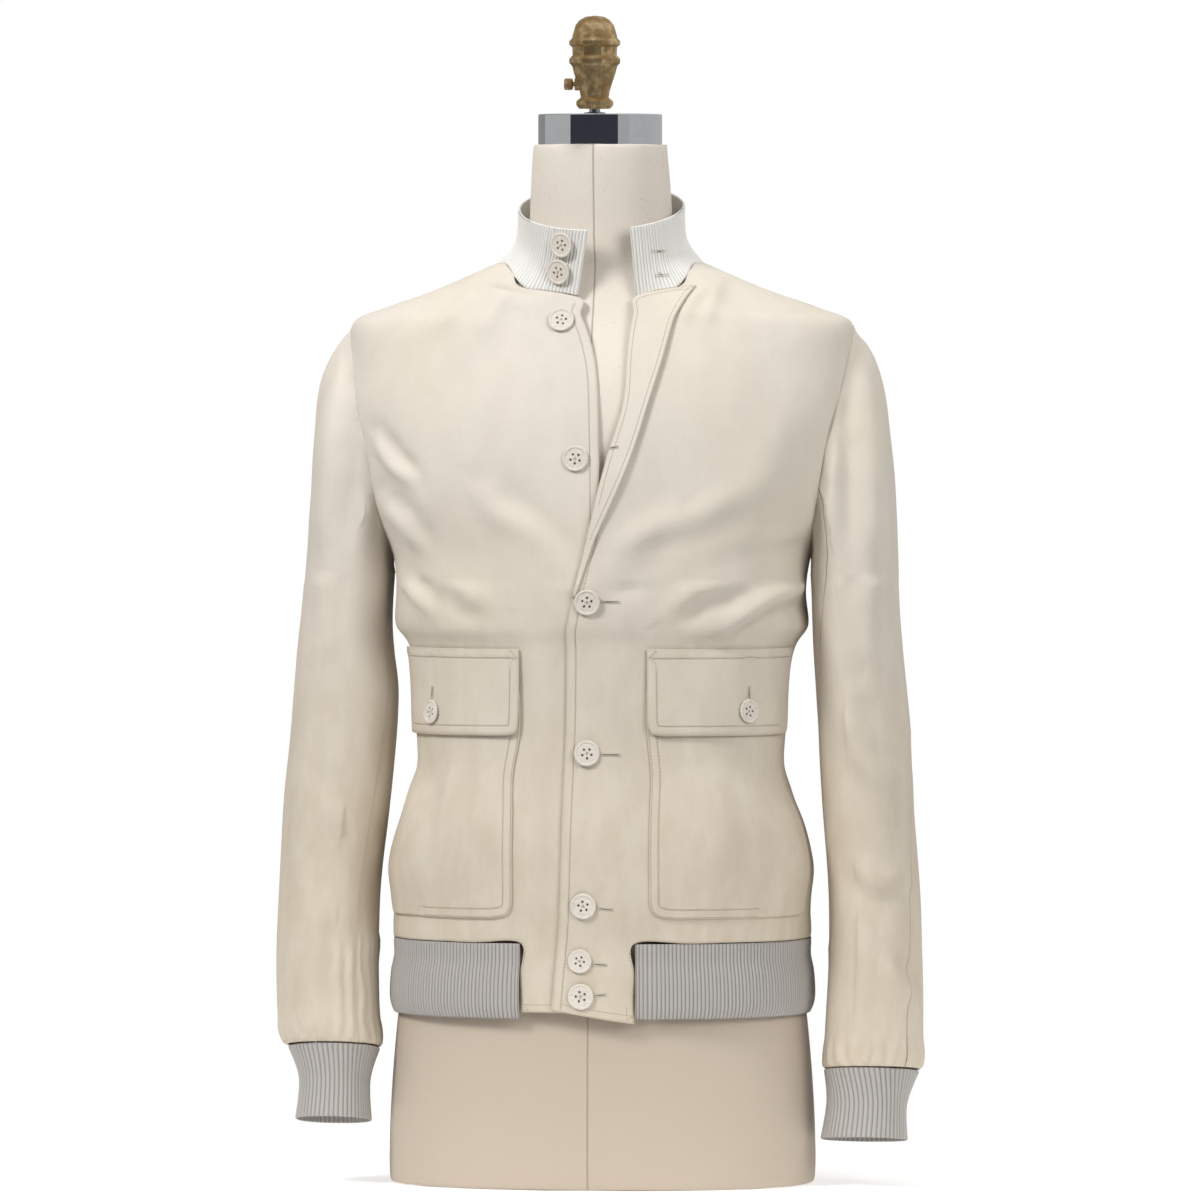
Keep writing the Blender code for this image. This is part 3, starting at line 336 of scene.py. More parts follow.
def knit_finish(name, light, dark):
    """Rib knit: chevron stitches down each rib, with painted shade in the valleys between the ribs and
    between the stitches.
    """
    finish = Finish(name, {"Roughness": 0.92, "Specular IOR Level": 0.08, "Sheen Weight": 0.15})
    where = finish.place()
    across, along = finish.pattern("knit")
    from_crest = (0.5 - (across.maths("FRACT") - 0.5).maths("ABSOLUTE")) * 2
    stitch = (along / STITCH_RISE + from_crest * 0.9).maths("FRACT")
    leg = (stitch - 0.5).maths("ABSOLUTE") * 2
    fuzz = finish.noise(where, 1600, 2, 0.6)
    # Painted shade: the valleys between the ribs are mixed towards the dark colour.
    valley_shade = from_crest.between(0.45, 1.0)
    colour = finish.mix(valley_shade * 0.75, light, dark)
    colour = finish.mix(finish.noise(where, 26, 2) * 0.25, colour, darker(light, 0.9))
    # Painted shade along the lines between the stitches.
    colour = finish.mix(leg.between(0.7, 1.0) * 0.22, colour, dark)
    finish.feed("Base Color", colour)
    knitted = finish.bump(1 - leg, 0.35 * MM, 0.5)
    finish.feed("Normal", finish.bump(fuzz, 0.25 * MM, 0.35, knitted))
    return finish.material


def canvas_finish():
    """Cream canvas in a plain weave, with the seams of the form's cover at its centre lines and its sides."""
    finish = Finish("canvas", {"Roughness": 0.88, "Specular IOR Level": 0.12, "Sheen Weight": 0.1})
    where = finish.place()
    across, along = finish.pattern("weave")
    thread = 2 * math.pi / WEAVE_PITCH
    weave = (across * thread).maths("SINE") * (along * thread).maths("SINE")
    seat = where.parts()
    centre = 1 - seat["X"].maths("ABSOLUTE").between(*COVER_SEAM)
    sides = 1 - (seat["Y"] + SIDE_SEAM_AHEAD).maths("ABSOLUTE").between(*COVER_SEAM)
    below_neck = 1 - seat["Z"].between(*NECK_FOOT)
    seam = centre.maths("MAXIMUM", sides * below_neck)
    # Painted shade: the canvas is darker towards the bottom, where less light falls.
    low = 1 - seat["Z"].between(0.15, 0.7)
    colour = finish.mix(finish.noise(where, 10, 3) * 0.5, paint(238, 229, 217), paint(230, 219, 204))
    colour = finish.mix(low * 0.85, colour, paint(184, 169, 151))
    colour = finish.mix(weave.between(-0.2, 0.8) * 0.12, colour, paint(196, 180, 158))
    colour = finish.mix(finish.noise(where, 420, 2).between(0.62, 0.75) * 0.3, colour, paint(190, 170, 140))
    colour = finish.mix(seam * 0.55, colour, paint(150, 132, 108))
    finish.feed("Base Color", colour)
    woven = finish.bump(weave, 0.12 * MM, 0.5)
    finish.feed("Normal", finish.bump(seam * -1.0, 0.6 * MM, 0.8, woven))
    return finish.material


def brass_finish():
    """Old brown brass, brighter where hands have worn it, with small casting pits all over."""
    finish = Finish("brass", {"Metallic": 1.0})
    where = finish.place()
    worn = finish.noise(where, 130, 4, 0.6).between(0.4, 0.68)
    spots = finish.noise(where, 520, 2, 0.6).between(0.56, 0.7)
    colour = finish.mix(worn, paint(196, 164, 116), paint(242, 216, 166))
    colour = finish.mix(spots * 0.5, colour, paint(112, 88, 56))
    finish.feed("Base Color", colour)
    finish.feed("Roughness", 0.56 - worn * 0.14 + spots * 0.12)
    cast = finish.noise(where, 260, 3, 0.6)
    finish.feed("Normal", finish.bump(cast, 0.3 * MM, 0.5))
    return finish.material


def polished_finish(name, colour, roughness, scratch):
    """Chrome or steel with fine wiping scratches."""
    finish = Finish(name, {"Metallic": 1.0})
    wiped = finish.noise(finish.place((1, 1, 14)), 160, 3, 0.6)
    smear = finish.noise(finish.place(), 38, 3, 0.6).between(0.45, 0.75)
    finish.feed("Base Color", finish.mix(smear * 0.3, colour, darker(colour, 0.8)))
    finish.feed("Roughness", smear * 0.05 + roughness)
    finish.feed("Normal", finish.bump(wiped, 0.02 * MM, scratch))
    return finish.material


def button_finish():
    """Pale horn-like resin with a faint cloudy figure and a soft polish."""
    finish = Finish("button", {"Specular IOR Level": 0.45, "Coat Weight": 0.15, "Coat Roughness": 0.25})
    where = finish.place((1, 1, 3))
    figure = finish.noise(where, 240, 3, 0.6).between(0.35, 0.7)
    colour = finish.mix(figure * 0.7, paint(224, 217, 206), paint(206, 197, 183))
    finish.feed("Base Color", colour)
    finish.feed("Roughness", figure * 0.12 + 0.32)
    finish.feed("Normal", finish.bump(finish.noise(finish.place(), 900, 2), 0.03 * MM, 0.4))
    return finish.material


def thread_finish(name, colour):
    """Sewing thread, twisted, a little glossier than the cloth."""
    finish = Finish(name, {"Roughness": 0.7, "Specular IOR Level": 0.25, "Sheen Weight": 0.2})
    where = finish.place()
    finish.feed("Base Color", finish.mix(finish.noise(where, 1800, 2) * 0.5, colour, darker(colour, 0.72)))
    finish.feed("Normal", finish.bump(finish.noise(where, 2600, 1), 0.1 * MM, 0.5))
    return finish.material


# ---------------------------------------------------------------- mesh helpers


def take(mesh):
    work = bmesh.new()
    work.from_mesh(mesh)
    return work


def give(work, name):
    mesh = bpy.data.meshes.new(name)
    work.to_mesh(mesh)
    work.free()
    return mesh


def vectors_of(items, key):
    found = np.empty(len(items) * 3, np.float32)
    items.foreach_get(key, found)
    return found.reshape(-1, 3).astype(float)


def coordinates(mesh):
    return vectors_of(mesh.vertices, "co")


def directions(mesh):
    return vectors_of(mesh.vertex_normals, "vector")


def move_to(mesh, points):
    mesh.vertices.foreach_set("co", points.astype(np.float32).ravel())
    mesh.update()


def keep_normals(mesh):
    """Notes on each vertex which way the surface faces, for making it a wall later."""
    field = mesh.attributes.new("shell_normal", "FLOAT_VECTOR", "POINT")
    field.data.foreach_set("vector", directions(mesh).astype(np.float32).ravel())


def unit(vectors):
    return vectors / np.maximum(np.linalg.norm(vectors, axis=-1, keepdims=True), 1e-12)


def smoothstep(low, high, value):
    share = np.clip((np.asarray(value, float) - low) / (high - low), 0, 1)
    return share * share * (3 - 2 * share)


def evaluated(thing):
    bpy.context.view_layer.update()
    graph = bpy.context.evaluated_depsgraph_get()
    return bpy.data.meshes.new_from_object(thing.evaluated_get(graph))


def tree_of(points):
    """The points in a tree that finds the nearest of them quickly."""
    tree = KDTree(len(points))
    for number, place in enumerate(points):
        tree.insert(place, number)
    tree.balance()
    return tree


def distances(points, others):
    """How far each point is from the nearest of the others."""
    tree = tree_of(others)
    return np.array([tree.find(point)[2] for point in points])


def square_corner(_):
    """Every corner stays square."""
    return 1.0


def finer(mesh, levels, rounds=4, square=square_corner):
    """A mesh subdivided into a smooth surface that still passes close to its own points, closer with more
    rounds. `square` says how square the corner at a place stays, from 0, round, to 1."""
    work = take(mesh)
    crease = work.verts.layers.float.new("crease_vert")
    fitted = np.ones(len(work.verts))
    for vert in work.verts:
        if vert.is_boundary and len(vert.link_faces) == 1:
            vert[crease] = square(vert.co)
            fitted[vert.index] = vert[crease] == 1.0
    work.to_mesh(mesh)
    work.free()
    thing = in_scene("subdividing", mesh)
    smooth = thing.modifiers.new("smooth", "SUBSURF")
    smooth.boundary_smooth = "ALL"
    wanted = coordinates(mesh)
    control = wanted.copy()
    smooth.levels = 1
    for _ in range(rounds):
        reached = coordinates(evaluated(thing))[: len(wanted)]
        control += (wanted - reached) * fitted[:, None]
        move_to(mesh, control)
    smooth.levels = levels
    result = evaluated(thing)
    bpy.data.objects.remove(thing)
    return result


def show(name, mesh, finish, replaced=(), sharp=None):
    """Makes a piece of a mesh, gives it its finish and lets it ride on the form. Edges that turn by more than
    `sharp` degrees stay sharp."""
    mesh.materials.clear()
    mesh.materials.append(finish)
    mesh.polygons.foreach_set("material_index", np.zeros(len(mesh.polygons), np.int32))
    mesh.shade_smooth()
    if sharp:
        mesh.set_sharp_from_angle(angle=math.radians(sharp))
    piece = in_scene(name, mesh)
    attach(piece, "form")
    if replaced:
        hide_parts(*replaced)
    return piece


# ---------------------------------------------------------------- cloth from the frame's walls

SUEDE, PATCH, SEAM_GAP = 1.6 * MM, 1.4 * MM, 0.3 * MM
PANEL_ROUNDING, LAYER_ROUNDING = 0.4 * MM, 0.35 * MM  # how far the edges of a wall bulge
TORSO_PANELS = ("left_front", "right_front", "back")
SLEEVE_PANELS = ("left_top_sleeve", "left_under_sleeve", "right_top_sleeve", "right_under_sleeve")
PANELS = TORSO_PANELS + SLEEVE_PANELS
SMOOTH_LIMIT = 0.6  # two faces are on one side of a wall while the cosine between them is above this
SAME_POINT = 0.02 * MM
CELL_LIMIT = math.radians(70)  # how uneven a four-sided cell may be
WELD = 0.9 * MM  # points of two panels' edges are one point of their seam when they are this near
LONG_EDGE = 8 * MM  # only a panel's edges that are longer than this can pass a point of the sleeve's seam
CLOTH_LEVELS = 3


def patches_of(work):
    """The faces of a mesh in groups that join smoothly, the largest first."""
    seen, groups = set(), []
    for start in work.faces:
        if start in seen:
            continue
        seen.add(start)
        group, ahead = [], [start]
        while ahead:
            face = ahead.pop()
            group.append(face)
            for edge in face.edges:
                for other in edge.link_faces:
                    if other not in seen and face.normal.dot(other.normal) > SMOOTH_LIMIT:
                        seen.add(other)
                        ahead.append(other)
        groups.append(group)
    return sorted(groups, key=lambda group: -sum(face.calc_area() for face in group))


def merged(name):
    """A copy of a node's mesh with its faces joined to each other."""
    work = take(nodes[name].data)
    bmesh.ops.remove_doubles(work, verts=work.verts, dist=SAME_POINT)
    work.normal_update()
    return work


def wall_side(name):
    """The outer side of a node's wall in four-sided cells. Of the two large sides it is the one that faces
    away from the middle: a sleeve's own, and the form's for the rest."""
    work = merged(name)
    low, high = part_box(name)
    middle = (low + high) / 2 if "sleeve" in name else Vector((0, 0, 0))

    def facing_out(group):
        total = 0.0
        for face in group:
            away = face.calc_center_median() - middle
            away.z = 0
            total += face.calc_area() * face.normal.dot(away.normalized())
        return total

    groups = patches_of(work)
    kept = set(max(groups[:2], key=facing_out))
    bmesh.ops.delete(work, geom=[face for face in work.faces if face not in kept], context="FACES")
    square_cells(work)
    return work


def square_cells(work):
    """Joins the two triangles of each cell. In both, the cell's diagonal is the longest edge."""
    limits = {"angle_face_threshold": CELL_LIMIT, "angle_shape_threshold": CELL_LIMIT}
    bmesh.ops.join_triangles(work, faces=work.faces, **limits)


def jacket_shell():
    """The seven suede panels as one fine surface, so that the cloth runs on across the seams. A sleeve's rim
    has more points than its armhole, so an armhole's edge is halved where such a point lies on its middle."""
    shell = bmesh.new()
    for number, name in enumerate(PANELS):
        side = wall_side(name)
        layer = side.faces.layers.int.new("panel")
        for face in side.faces:
            face[layer] = number
        mesh = give(side, name + "_side")
        shell.from_mesh(mesh)
        bpy.data.meshes.remove(mesh)
    panel = shell.faces.layers.int.get("panel")
    torso = len(TORSO_PANELS)
    rim = [vert for vert in shell.verts if vert.is_boundary]
    sleeve_rim = [vert.co for vert in rim if vert.link_faces[0][panel] >= torso]
    sides = [edge for edge in shell.edges if edge.is_boundary and edge.link_faces[0][panel] < torso]
    sides = [edge for edge in sides if edge.calc_length() > LONG_EDGE]
    apart = distances([(edge.verts[0].co + edge.verts[1].co) / 2 for edge in sides], sleeve_rim)
    halved = [edge for edge, gap in zip(sides, apart) if gap < WELD]
    bmesh.ops.subdivide_edges(shell, edges=halved, cuts=1)
    rim = [vert for vert in shell.verts if vert.is_boundary]
    bmesh.ops.remove_doubles(shell, verts=rim, dist=WELD)
    return finer(give(shell, "shell"), CLOTH_LEVELS)


def rims(work):
    """The edges of a surface as rings of vertices, each in order."""
    left = dict.fromkeys(edge for edge in work.edges if edge.is_boundary)
    found = []
    while left:
        edge, _ = left.popitem()
        ring = [edge.verts[0], edge.verts[1]]
        while True:
            after = [edge for edge in ring[-1].link_edges if edge in left]
            if not after:
                break
            del left[after[0]]
            ring.append(after[0].other_vert(ring[-1]))
        found.append(ring[:-1] if ring[0] == ring[-1] else ring)
    return found


def inward(vert, before, after):
    """The direction in the cloth that leads away from its edge."""
    along = (after.co - before.co).normalized()
    middle = sum((face.calc_center_median() for face in vert.link_faces), Vector()) / len(vert.link_faces)
    away = middle - vert.co
    away -= away.dot(along) * along
    away -= away.dot(vert.normal) * vert.normal
    return away.normalized() if away.length > 1e-9 else Vector()


def rim_directions(work):
    """For each vertex of the edges, the direction away from the edge."""
    found = {}
    for ring in rims(work):
        for number, vert in enumerate(ring):
            before, after = ring[number - 1], ring[(number + 1) % len(ring)]
            found[vert] = inward(vert, before, after)
    return found


def thicken(work, thickness, rounding):
    """Turns a surface into a closed wall that lies inside it, with rounded edges."""
    normal = work.verts.layers.float_vector.get("shell_normal")
    away = work.verts.layers.float_vector.new("away_from_edge")
    work.normal_update()
    for vert, direction in rim_directions(work).items():
        vert[away] = direction
        vert.co += direction * SEAM_GAP / 2
    inner_faces, inner_verts = list(work.faces), set(work.verts)
    bmesh.ops.extrude_face_region(work, geom=inner_faces, use_keep_orig=True)
    for vert in inner_verts:
        vert.co -= Vector(vert[normal]) * thickness
    for vert in work.verts:
        vert.co += Vector(vert[away]) * rounding
    rim = [edge for edge in work.edges if (edge.verts[0] in inner_verts) != (edge.verts[1] in inner_verts)]
    made = bmesh.ops.subdivide_edges(work, edges=rim, cuts=1)
    for vert in made["geom_inner"]:
        if isinstance(vert, bmesh.types.BMVert):
            vert.co -= Vector(vert[away]) * rounding
    bmesh.ops.recalc_face_normals(work, faces=work.faces)
    if work.calc_volume(signed=True) < 0:
        bmesh.ops.reverse_faces(work, faces=work.faces)


# ---------------------------------------------------------------- folds

# A fold runs along a path of (x, z) in millimetres, as seen from the front. It is a ridge that falls off over
# its width, with a hollow beside it where `hollow` is not 0: on the path's left for 1 and its right for -1.
Fold = namedtuple("Fold", "width height hollow path")
FOLDS = {
    "front": [
        Fold(6, 2.6, 1, [(-180, 616), (-166, 597), (-148, 581)]),
        Fold(7, 2.2, 1, [(-175, 565), (-156, 546), (-138, 518)]),
        Fold(6, 2.4, 1, [(-165, 507), (-150, 494), (-132, 474)]),
        Fold(9, 1.6, -1, [(-117, 505), (-98, 489), (-80, 483)]),
        Fold(11, 2.0, 1, [(-86, 569), (-48, 532), (-11, 493)]),
        Fold(9, 1.3, -1, [(-56, 559), (-30, 529), (-8, 501)]),
        Fold(8, 1.4, 0, [(-73, 740), (-83, 720), (-95, 698)]),
        Fold(8, 1.3, 0, [(-97, 738), (-118, 720), (-140, 703)]),
        Fold(8, 1.2, 0, [(-55, 735), (-48, 713), (-40, 687)]),
        Fold(12, 2.2, -1, [(8, 500), (36, 532), (67, 557)]),
        Fold(12, 1.5, -1, [(19, 519), (77, 549), (137, 579)]),
        Fold(9, 2.0, -1, [(66, 476), (87, 494), (129, 509)]),
        Fold(9, 3.6, -1, [(111, 463), (142, 484), (184, 504)]),
        Fold(8, 1.6, -1, [(142, 531), (166, 541), (187, 561)]),
        Fold(7, 1.3, 0, [(91, 743), (81, 730), (74, 713)]),
        Fold(7, 1.2, 0, [(101, 747), (97, 727), (94, 710)]),
        Fold(9, 1.6, 0, [(-113, 349), (-126, 303), (-143, 254)]),
        Fold(12, 1.8, 1, [(-155, 353), (-148, 303), (-153, 249)]),
        Fold(10, 1.5, 0, [(-85, 353), (-91, 295), (-98, 241)]),
        Fold(12, 1.4, 0, [(-40, 453), (-35, 386), (-41, 320)]),
        Fold(9, 1.2, 0, [(148, 362), (162, 320), (169, 262)]),
        Fold(14, 1.8, 0, [(94, 353), (111, 295), (107, 245)]),
        Fold(12, 1.2, 0, [(19, 453), (14, 386), (21, 320)]),
        Fold(9, 1.0, 0, [(27, 254), (21, 212), (24, 162)]),
    ],
    "back": [
        Fold(12, 2.4, 1, [(-170, 560), (-120, 545), (-60, 500)]),
        Fold(12, 2.4, -1, [(170, 560), (120, 545), (60, 500)]),
        Fold(13, 2.0, 0, [(-60, 330), (-20, 300), (50, 285)]),
        Fold(11, 1.8, 1, [(150, 330), (100, 300), (60, 250)]),
        Fold(11, 1.8, -1, [(-150, 335), (-110, 300), (-80, 245)]),
        Fold(10, 1.5, 0, [(-165, 640), (-140, 600), (-130, 540)]),
        Fold(10, 1.5, 0, [(165, 640), (140, 600), (132, 540)]),
    ],
    "right_arm": [
        Fold(13, 2.6, 1, [(-204, 696), (-219, 634), (-226, 551), (-227, 451)]),
        Fold(11, 1.8, 0, [(-187, 584), (-196, 518), (-199, 443)]),
        Fold(12, 1.3, 1, [(-177, 451), (-167, 417), (-169, 369), (-176, 318), (-181, 264)]),
        Fold(12, 1.8, 0, [(-234, 435), (-242, 335), (-247, 236)]),
        Fold(9, 2.0, 1, [(-222, 318), (-204, 289), (-181, 275)]),
        Fold(9, 1.6, -1, [(-214, 227), (-196, 202), (-182, 196)]),
        Fold(10, 1.5, 0, [(-226, 236), (-232, 186), (-247, 144)]),
    ],
    "left_arm": [
        Fold(11, 2.8, -1, [(218, 696), (227, 617), (230, 518), (225, 443)]),
        Fold(11, 2.0, 0, [(200, 634), (197, 551), (202, 468)]),
        Fold(12, 1.8, 0, [(253, 484), (257, 402), (252, 318)]),
        Fold(10, 2.2, 1, [(202, 402), (222, 352), (247, 327)]),
        Fold(9, 1.8, -1, [(212, 269), (233, 252), (258, 254)]),
        Fold(10, 1.5, 0, [(218, 236), (225, 186), (220, 128)]),
        Fold(7, 1.8, 1, [(240, 186), (255, 165), (268, 152)]),
    ],
    "right_arm_back": [
        Fold(12, 2.2, 1, [(-190, 420), (-215, 385), (-245, 375)]),
        Fold(10, 1.8, -1, [(-195, 360), (-220, 335), (-250, 330)]),
    ],
    "left_arm_back": [
        Fold(12, 2.2, -1, [(190, 420), (215, 385), (245, 375)]),
        Fold(10, 1.8, 1, [(195, 360), (220, 335), (250, 330)]),
    ],
}

DEPTH = 2.4  # how strongly all folds are drawn
HOLLOW_DEPTH, HOLLOW_AWAY = 0.75, 1.7  # shares of the ridge's height and of its width
END_SHARE = 0.15  # how much of a fold is left at its ends
REACH = 4  # no fold is felt further away than this many of its widths
START_FADE, END_FADE = (-0.1, 0.25), (-0.1, 0.35)  # shares of a fold's length
FACING = (-0.1, 0.35)  # a side's folds fade in as the cloth turns towards that side
# Two layers of unevenness: height in millimetres, size of a feature, share of its height along Z, and seed.
UNEVENNESS = ((1.1, 75 * MM, 1.0, 1), (0.55, 26 * MM, 0.7, 2))


def fold_height(fold, points):
    """How far one fold lifts the cloth at each point, in millimetres."""
    path = np.array(fold.path, float)
    flat = points[:, [0, 2]] / MM
    lengths = np.linalg.norm(np.diff(path, axis=0), axis=1)
    best = np.full(len(flat), np.inf)
    side = np.zeros(len(flat))
    share = np.zeros(len(flat))
    done = 0.0
    for start, end, length in zip(path, path[1:], lengths):
        run = end - start
        t = np.clip(((flat - start) @ run) / (run @ run), 0, 1)
        gap = flat - start - t[:, None] * run
        away = np.linalg.norm(gap, axis=1)
        closer = away < best
        best[closer] = away[closer]
        turn = run[0] * gap[:, 1] - run[1] * gap[:, 0]
        side[closer] = np.sign(turn[closer])
        share[closer] = ((done + t * length) / lengths.sum())[closer]
        done += length
    along = smoothstep(*START_FADE, share) * smoothstep(*END_FADE, 1 - share)
    signed = best * side
    ridge = np.exp(-((signed / fold.width) ** 2))
    if fold.hollow:
        beside = signed - fold.hollow * HOLLOW_AWAY * fold.width
        ridge = ridge - HOLLOW_DEPTH * np.exp(-((beside / fold.width) ** 2))
    strength = END_SHARE + (1 - END_SHARE) * along
    return DEPTH * fold.height * ridge * strength * (best < REACH * fold.width)


def waves(points, size, seed):
    """Gentle unevenness between -1 and 1 with features of about one size."""
    shift = Vector((seed * 7.1, seed * 3.3, seed * 5.7))
    return np.array([noise.noise(Vector(p) / size + shift) for p in points])


def drape(points, normals, arm):
    """How far the cloth leaves its plain surface, in millimetres. `arm` is 0 on the body, 1 on a sleeve."""
    front = smoothstep(*FACING, -normals[:, 1])
    rear = smoothstep(*FACING, normals[:, 1])
    left = points[:, 0] > 0
    weight = {
        "front": front * (1 - arm),
        "back": rear * (1 - arm),
        "right_arm": front * arm * ~left,
        "left_arm": front * arm * left,
        "right_arm_back": rear * arm * ~left,
        "left_arm_back": rear * arm * left,
    }
    height = np.zeros(len(points))
    for cloth, share in weight.items():
        picked = share > 0
        for fold in FOLDS[cloth]:
            height[picked] += fold_height(fold, points[picked]) * share[picked]
    for rise, size, stretch, seed in UNEVENNESS:
        height += rise * waves(points * (1, 1, stretch), size, seed)
    return height


# How far apart the ripples are, how high they are and how far they reach from their seam, in millimetres.
Gathers = namedtuple("Gathers", "spacing height reach")
CUFF_GATHERS, WAIST_GATHERS = Gathers(13, 1.5, 30), Gathers(17, 0.8, 22)
WANDER, WANDER_SIZE = 2.2, 18 * MM  # how far, as an angle, the ripples stray from even spacing
CUFF_CENTRES = {-1: (-0.223, -0.031), 1: (0.2275, -0.022)}  # by the side of the body that the sleeve is on
CUFF_TOP, WAIST_LOW, WAIST_HIGH = 0.2, 0.2, 0.25  # between which heights the cloth is gathered
TABS_HALF = 0.045  # the fronts' tabs between the waistband's ends lie within this of the middle
FRONT_EDGES, NECK_EDGE = 0.04, 0.735  # an edge this near the middle and below the neck is free, not sewn
ARMHOLE_STEADY, BAND_STEADY = 14, 12  # how far from a seam folds are at their full height, in millimetres
ARMPIT, ARMPIT_SHARE = (0.5, 0.56), 0.3  # folds are low just above the armpits
FACING_BODY, FACING_SHARE = 0.3, 0.4  # and on the side of a sleeve that faces the body
# The small puckers beside the armhole: how far from it, how wide a strip and how high, in millimetres, and
# the size of one.
PUCKER_AWAY, PUCKER_WIDTH, PUCKER_HEIGHT, PUCKER_SIZE = 4, 4, 0.35, 7 * MM


def ripples(points, gap, centre, gathers):
    """Small upright ripples where the cloth is gathered into a seam that is `gap` away."""
    angle = np.arctan2(points[:, 0] - centre[0], points[:, 1] - centre[1])
    radius = np.hypot(points[:, 0] - centre[0], points[:, 1] - centre[1])
    wander = waves(points, WANDER_SIZE, 3) * WANDER
    ripple = np.sin(angle * np.mean(radius) / MM * 2 * math.pi / gathers.spacing + wander)
    fade = smoothstep(0, 4, gap / MM) * (1 - smoothstep(gathers.reach * 0.4, gathers.reach, gap / MM))
    return gathers.height * (0.6 * ripple + 0.4) * fade


def shape_shell(shell):
    """Gives the plain shell its folds, its gathers and its seams."""
    points, normals = coordinates(shell), directions(shell)
    work = take(shell)
    panel = work.faces.layers.int.get("panel")
    arm = np.zeros(len(points))
    armhole, banded = [], []
    for vert in work.verts:
        kinds = {face[panel] >= len(TORSO_PANELS) for face in vert.link_faces}
        arm[vert.index] = True in kinds
        if len(kinds) == 2:
            armhole.append(vert.co.copy())
        elif vert.is_boundary and (abs(vert.co.x) > FRONT_EDGES or vert.co.z > NECK_EDGE):
            banded.append(vert.co.copy())
    work.free()
    across, level = points[:, 0], points[:, 2]
    armhole_gap = distances(points, armhole)
    band_gap = distances(points, banded)
    steady = smoothstep(0, ARMHOLE_STEADY, armhole_gap / MM) * smoothstep(0, BAND_STEADY, band_gap / MM)
    height = drape(points, normals, arm) * steady
    armpit = np.clip(smoothstep(*ARMPIT, level) + (level < ARMPIT[0]), ARMPIT_SHARE, 1)
    facing_body = arm * (np.sign(across) * -normals[:, 0] > FACING_BODY)
    height *= np.where(facing_body, FACING_SHARE, 1.0) * armpit
    for side, centre in CUFF_CENTRES.items():
        cuffed = (arm > 0) & (np.sign(across) == side) & (level < CUFF_TOP)
        height[cuffed] += ripples(points[cuffed], band_gap[cuffed], centre, CUFF_GATHERS)
    waist = (arm == 0) & (level < WAIST_HIGH) & (level > WAIST_LOW) & (np.abs(across) > TABS_HALF)
    height[waist] += ripples(points[waist], band_gap[waist], (0, 0), WAIST_GATHERS)
    pucker = np.exp(-(((armhole_gap / MM - PUCKER_AWAY) / PUCKER_WIDTH) ** 2))
    height += PUCKER_HEIGHT * pucker * waves(points, PUCKER_SIZE, 5)
    move_to(shell, points + normals * (height * MM)[:, None])
    keep_normals(shell)


# ---------------------------------------------------------------- the record for a cloth piece's cut

# The fields of a cloth piece's cut: its flat width and length and its flat area, in metres, how it is held
# and what it lies on.
Cut = namedtuple("Cut", "width length area held rests_on")


# ---------------------------------------------------------------- suede pieces

# Which stretch of an edge is topstitched, and how far in its rows are, in millimetres.
Sewn = namedtuple("Sewn", "where insets")
ARMHOLE_SEAM = Sewn(lambda p: p.z > 0.535 and abs(p.x) > 0.165, (1.8, 6.5))
POCKET_EDGE = Sewn(lambda p: p.z < 0.40 and abs(p.x) < 0.14, (1.6, EDGE_ROW))
FLAP_EDGE = Sewn(lambda p: p.z < 0.430 and abs(p.x) < 0.152, (EDGE_ROW,))
FLAP_TOP = Sewn(lambda p: p.z > 0.441, (EDGE_ROW,))

SEWN = {
    "left_front": [
        Sewn(lambda p: p.x < 0.0335 and 0.15 < p.z < 0.733, (EDGE_ROW,)),
        Sewn(lambda p: p.z < 0.155 and p.x > -0.026, (6.5,)),
        Sewn(lambda p: p.z < 0.2 and p.x > 0.036, (1.6,)),
        ARMHOLE_SEAM,
    ],
    "right_front": [
        Sewn(lambda p: p.x > -0.024 and 0.46 < p.z < 0.733, (EDGE_ROW,)),
        Sewn(lambda p: p.z < 0.152 and p.x < 0.0, (6.5,)),
        Sewn(lambda p: p.z < 0.2 and p.x < -0.045, (1.6,)),
        ARMHOLE_SEAM,
    ],
    "back": [ARMHOLE_SEAM],
    "left_pocket": [POCKET_EDGE],
    "right_pocket": [POCKET_EDGE],
    "left_flap": [FLAP_EDGE, FLAP_TOP],
    "right_flap": [FLAP_EDGE, FLAP_TOP],
    "left_front_turnback": [Sewn(lambda p: p.x > 0.006 and p.z > 0.47, (4.0,))],
}
NOT_SEWN = 100.0  # stands for the distance to the wide row where a piece has none, in millimetres


def longest_run(ring, keep):
    """The longest stretch of a ring whose vertices are all kept."""
    flags = [keep(vert.co) for vert in ring]
    if all(flags):
        return list(ring) + [ring[0]]
    start = flags.index(False)
    best, run = [], []
    for step in range(1, len(ring) + 1):
        place = (start + step) % len(ring)
        if flags[place]:
            run.append(ring[place])
        else:
            best = max(best, run, key=len)
            run = []
    return max(best, run, key=len)


